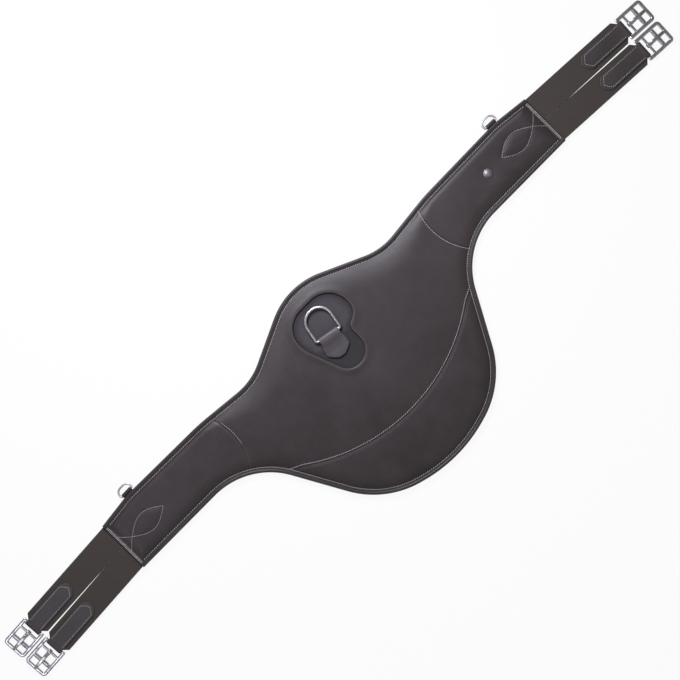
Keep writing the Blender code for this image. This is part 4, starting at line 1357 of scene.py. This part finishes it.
# %% Straps round the heel bars
TIP = -80.5
LEAF = 2.35
CHAPE_T = 1.7 * MM
fold = [(TIP, LEAF - 0.25), (TIP + 3, LEAF), (-9, LEAF), (-5, LEAF + 0.08)]
fold += arc(3.15, 112, -113, -8)
fold += [(-5, -LEAF - 0.08), (-9, -LEAF), (TIP + 3, -LEAF), (TIP, -LEAF + 0.25)]
chape_path = fold_path(fold)
chape_wide = blunt(chape_path[:, 0] / MM, TIP, 10, 13.0, 3.6) * MM
chape_shape = sweep(chape_path, strap_section(CHAPE_T), (0, 1, 0), wide=chape_wide)
nose = np.array([(-5, -10.1), (-69, -10.1), (-76.5, 0), (-69, 10.1), (-5, 10.1)])
nose = even(rounded(nose * MM, [0, 3 * MM, 1.5 * MM, 3 * MM, 0]), 1.0 * MM)
for name, lane, inner in LANES:
    heel = shift_u(lane, HEEL)
    body = name + "_chape"
    points = moved(heel, chape_shape[0])
    piece(body + "_leather", points, chape_shape[1], strap_leather, body, [body], 50)
    rows = []
    for face in (1, -1):
        line = moved(heel, raised(nose, face * (LEAF + 0.9) * MM))
        rows.append(stitch_row(line, 3.0 * MM, 0.36 * MM, (0, 0, face)))
    sewn(body + "_stitching", rows, body)

# %% [markdown]
# ## Elastic
#
# The elastic is woven round rubber cords that run lengthwise, so it is finely ribbed, matt and
# warmer than the leather. It is made as two pieces per strap: the first runs from inside the wing
# past the fold where it leaves it, the second from there to the buckle. The ribs are geometry, and
# the cross weave is bump that follows the strap's own map.

# %% Elastic finish
CORD_STEP = 1.6
WEFT_STEP = 0.8
elastic = Finish("ribbed_elastic", Roughness=0.82, Sheen_Weight=0.18, Sheen_Roughness=0.5)
chart = elastic.node("ShaderNodeUVMap", {"uv_map": "strap"})
split = elastic.node("ShaderNodeSeparateXYZ", None, {0: chart})
across = Value(elastic, split.socket.node.outputs["X"])
down = Value(elastic, split.socket.node.outputs["Y"])
cord = elastic.wave(across * (2 * math.pi / CORD_STEP))
weft = elastic.wave(down * (2 * math.pi / WEFT_STEP))
basket = cord * weft
fuzz = elastic.noise(elastic.stretch(chart, (2.2, 0.5, 1.0)), 1.0, 4.0, 0.65)
patch = elastic.noise(chart, 0.05, 2.0)
share = 0.3 + basket * 0.12 + fuzz * 0.35 + patch * 0.25
elastic.feed(elastic.skin, {"Base Color": elastic.tint(share, srgb(42, 37, 33), srgb(72, 65, 58))})
elastic.feed(elastic.skin, {"Roughness": 0.72 + fuzz * 0.2})
elastic.bump(basket * 0.5 + fuzz * 0.6, 0.12 * MM, 0.7)
print("elastic finish", len(elastic.tree.nodes), "nodes")

# %% Elastic straps
RIBS = 24
WEB_HALF = 19.75 * MM
WEB_HALF_T = 1.2 * MM
ROOT_END = -40 * MM
BEND_END = 24 * MM
MEET = 60 * MM
STRETCH_START = 62 * MM
STRETCH_END = 86 * MM
OUTER_END = 162.5 * MM
END_CUT = 5.5 * MM
END_SLIM = 0.32
SLIT_AT = [41, 58, OUTER_END / MM]
SLIT_LEAN = [0.69, 0.42, -0.4]


def ribbed_section(half_wide, half_thick, ribs):
    """Section of a web: (out, along fixed, extra), ribbed on both faces."""
    share = np.linspace(-1, 1, ribs * 4 + 1)
    ridge = 0.09 * MM * np.cos(share * ribs * np.pi)
    top = np.column_stack([half_thick - 0.1 * MM + ridge, share * 0.985, np.zeros(len(share))])
    side = np.array([(0.5 * half_thick, 0.993, 0), (0, 1.0, 0), (-0.5 * half_thick, 0.993, 0)])
    half = np.vstack([top, side])
    section = np.vstack([half, half * (-1, -1, -1)])
    section[:, 1] *= half_wide
    return section


def charted(made, chart):
    """The strap's own map: across and along, in millimetres."""
    layer = made.data.uv_layers.new(name="strap")
    corner = np.empty(len(made.data.loops), np.int32)
    made.data.loops.foreach_get("vertex_index", corner)
    layer.data.foreach_set("uv", chart[corner].astype(np.float32).ravel())


def web(name, lane, inner, low, high, rings):
    """A straight length of elastic, with the inner edges closer together near the wing."""
    u = np.linspace(low, min(high, OUTER_END - END_CUT), rings)
    if high == OUTER_END:
        u = np.append(u, np.linspace(OUTER_END - END_CUT, OUTER_END, 6)[1:])
    path = upright(u, np.zeros(len(u)))
    points, faces = sweep(path, ribbed_section(WEB_HALF, WEB_HALF_T, RIBS), (0, 1, 0))
    chart = points[:, [1, 0]] / MM
    lean = np.interp(points[:, 0] / MM, SLIT_AT, SLIT_LEAN) * MM
    slim = np.interp(points[:, 0], [OUTER_END - END_CUT, OUTER_END], [0.0, END_SLIM])
    to_inner = np.clip(points[:, 1] * inner / WEB_HALF, 0, 1)
    points[:, 1] = points[:, 1] * (1 - slim) + inner * lean * to_inner
    made = piece(name, moved(lane, points), faces, elastic, None, (), 60)
    charted(made, chart)
    return made


def spot(lane, u):
    return tuple(lane @ Vector((u, 0, 0)))


for name, lane, inner in LANES:
    near = web(name + "_elastic_root", lane, inner, ROOT_END, MEET, 60)
    name + "_web"
    spot(lane, 0)
    spot(lane, BEND_END)
    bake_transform(near)
    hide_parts(name + "_root")
    far = web(name + "_elastic", lane, inner, MEET, OUTER_END, 60)
    start, end = spot(lane, STRETCH_START), spot(lane, STRETCH_END)
    name + "_web"
    name + "_chape"
    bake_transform(far)
    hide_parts(name + "_web")
print("elastic ribs", RIBS, "on", len(LANES), "straps")

# %% Load webbing
low, high = (np.array(corner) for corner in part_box("load_webbing"))
half = (high - low) / 2
path = upright(np.linspace(-half[0], half[0], 120), np.zeros(120))
points, faces = sweep(path, ribbed_section(half[1], half[2], RIBS), (0, 1, 0))
chart = points[:, [1, 0]] / MM
points += (low + high) / 2
made = piece("load_webbing_weave", points, faces, elastic, "girth_body", ["load_webbing"], 60)
charted(made, chart)
print("webbing", np.round(2 * half, 4))

# %% [markdown]
# ## Breast ring in its window
#
# A breastplate clips to the ring in the middle. It lies in a window cut in the outer leather, on a
# floor of its own, and a short folded tab holds its straight side. The tab is made like the folds
# at the buckles. The ring is a round wire bent to a dee.

# %% Window floor
FLOOR_UNDER = 6.75 * MM
SAG = 0.35 * MM
SAG_REACH = 14 * MM
floor_loop = beside(window, -9 * MM, True)
floor_rows = [beside(window, gap * MM, True) for gap in (-4, 0, 3, 8)]
floor_edges = [(k, (k + 1) % len(floor_loop)) for k in range(len(floor_loop))]
inner_points = lattice(4 * MM)
inner_points = inner_points[inside(floor_rows[-1], inner_points)]
inner_points = inner_points[gap_to(looped(floor_rows[-1]), inner_points) > 2 * MM]
floor_points = np.vstack([floor_loop] + floor_rows + [inner_points])
base_points, base_faces = filled(floor_points, floor_edges, floor_loop)
deep = np.clip(from_window(base_points) / SAG_REACH, 0, 1)
base_top = FLOOR_TOP - SAG * np.where(inside(window, base_points), deep, 0)
points, faces, used = slab(base_points, base_faces, base_top, np.full(len(base_top), FLOOR_UNDER))
made = piece("window_floor", points, faces, window_leather, "girth_body", ["ring_base"])
# Painted shadow on the floor: dark along the window's edge, widest on the front side, where the rim shades
# it, and painted shade over the lower part of the floor.
y = base_points[used, 1]
corner = hill(from_window(base_points[used]), np.where(y > 0, 6 * MM, 3.5 * MM))
painted_dark = 0.9 * np.clip((-2 * MM - y) / (12 * MM), 0, 1) + corner
paint(made, "painted_dark", np.tile(np.clip(painted_dark, 0, 0.92), 2))
print("window floor", len(points), "points")

# %% Ring and its tab
def dee_path(width, height, wire, top_radius, bar_radius, step):
    """Middle line of a ring with one straight side, from its outer width and height."""
    w, h = width / 2 - wire / 2, height - wire
    radii = [bar_radius, bar_radius, top_radius, top_radius]
    return raised(even(rounded([(-w, 0), (w, 0), (w, h), (-w, h)], radii, True), step, True))


RING_BAR_AT = Matrix.Translation((-7.0 * MM, 1.6 * MM, 13.4 * MM))
RING_PLACE = RING_BAR_AT @ Matrix.Rotation(math.radians(-11), 4, "Z")
RING_WIRE = 4.8 * MM
ring_path = dee_path(45.6 * MM, 48.2 * MM, RING_WIRE, 20 * MM, 2.7 * MM, 1.0 * MM)
points, faces = sweep(ring_path, round_section(RING_WIRE / 2, 20), (0, 0, 1), True)
piece("breast_ring", moved(RING_PLACE, points), faces, ring_steel, "centre_ring", ["centre_ring"])

TO_BELLY = Matrix(((0, 1, 0, 0), (1, 0, 0, 0), (0, 0, 1, 0), (0, 0, 0, 1)))
fold = [(-35, -1.75), (-33, -1.55), (-22, -1.5), (-14, -0.6), (-9.5, 0.6), (-5, 2.1)]
fold += arc(3.55, 112, -91, -8)
fold += [(-9, -3.55), (-33, -3.55), (-35, -3.45)]
tab_path = fold_path(fold)
u = tab_path[:, 0] / MM
tab_wide = np.interp(-u, [-4, 8, 14, 24, 30], [16.8, 16.8, 19.2, 19.2, 16.5])
tab_wide = np.minimum(tab_wide, blunt(u, -35, 11, 19.2, 5)) * MM
points, faces = sweep(tab_path, strap_section(CHAPE_T), (0, 1, 0), wide=tab_wide)
# Paler on the fold: wear from the ring, and a painted highlight along the fold.
wear_and_highlight = hill(points[:, 0] + 1 * MM, 4 * MM)
tab_place = RING_PLACE @ TO_BELLY
points = moved(tab_place, points)
nodes = ["centre_ring_chape"]
made = piece("breast_ring_tab", points, faces, tab_leather, "girth_body", nodes, 50)
paint(made, "wear_and_highlight", wear_and_highlight)
nose = np.array([(-12, -15.6), (-24, -15.6), (-31, -6), (-31, 6), (-24, 15.6), (-12, 15.6)])
nose = even(rounded(nose * MM, [0, 5 * MM, 3 * MM, 3 * MM, 5 * MM, 0]), 1 * MM)
rise = np.interp(-nose[:, 0] / MM, [9.5, 14, 22, 33], [0.6, -0.6, -1.5, -1.55])
line = moved(tab_place, np.column_stack([nose, (rise + 0.92) * MM]))
rows = [stitch_row(line, 2.8 * MM, 0.32 * MM)]
sewn("breast_ring_stitching", rows, "girth_body", dark_thread)

# %% [markdown]
# ## Side rings and stud
#
# Two small rings stand on the front edge, each in a thin tab that comes out through the rim. The
# right wing also has a stud, which keeps a loose strap end in place. Its cap is turned: a low dome
# on a thin flange, with a groove between them. The washer under it stays as the CAD has it, and
# only gets the same steel.

# %% Side rings
RIM_MID = 4.8 * MM
SIDE_X = 372 * MM
SIDE_OUT = 4.6 * MM
SIDE_WIRE = 3 * MM
STRAP_HALF = 8.6 * MM
strap_fold = [(-11.6, 0.65), (-3.5, 0.65)] + arc(2.3, 115, -116, -9) + [(-3.5, -0.65), (-11.6, -0.65)]
strap_path = fold_path(strap_fold, 0.5 * MM)
strap_wide = np.full(len(strap_path), STRAP_HALF)
strap_shape = sweep(strap_path, strap_section(1.0 * MM), (0, 1, 0), wide=strap_wide)
wire_path = dee_path(25 * MM, 13.9 * MM, SIDE_WIRE, 8.5 * MM, 1.8 * MM, 0.7 * MM)
wire_shape = sweep(wire_path, round_section(SIDE_WIRE / 2, 16), (0, 0, 1), True)
for name, sign in (("left", -1), ("right", 1)):
    x = sign * SIDE_X
    near = np.argmin(np.abs(front_edge[:, 0] - x))
    along = front_edge[near + 1] - front_edge[near - 1]
    turn_z = math.atan2(along[1], along[0])
    foot = np.array((x, np.interp(x, front_edge[:, 0], front_edge[:, 1])))
    axis = foot + SIDE_OUT * np.array((-math.sin(turn_z), math.cos(turn_z)))
    place = Matrix.Translation((*axis, RIM_MID)) @ Matrix.Rotation(turn_z, 4, "Z")
    ring = name + "_side_ring"
    piece(name + "_ring_wire", moved(place, wire_shape[0]), wire_shape[1], bright, ring, [ring])
    points = moved(place @ TO_BELLY, strap_shape[0])
    nodes = [name + "_ring_tab"]
    piece(name + "_ring_strap", points, strap_shape[1], rim_leather, "girth_body", nodes, 50)
    print(ring, "at", np.round(axis, 4))

# %% Stud
STUD_FOOT = 12.6 * MM
CAP = [(0.02, -3.3), (1.85, -3.3), (1.85, 0), (6.0, 0.0), (6.45, 0.25), (6.5, 0.55)]
CAP += [(6.3, 0.85), (5.7, 0.95), (5.5, 1.1)]
dome = [(5.58 * x, 1.1 + 2.1 * z) for x, z in arc(1.0, 8, 90, 9)]
points, faces = turned(np.array(CAP + dome + [(0.02, 3.2)]) * MM, 48)
points = moved(Matrix.Translation((*STUD, STUD_FOOT)), points)
piece("stud_dome", points, faces, satin, "girth_body", ["stud_cap"])
washer = frame["nodes"]["stud_washer"]
washer.data.materials.clear()
washer.data.materials.append(satin.material)
print("stud", len(points), "points")

# %% [markdown]
# ## Sizes
#
# The dressed girth has to stay as large as the CAD says. Both boxes are printed.

# %% Sizes
visual_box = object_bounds()
for kind, box in (("cad", cad_box), ("visual", visual_box)):
    print(kind, [round(v, 4) for v in box[1] - box[0]])
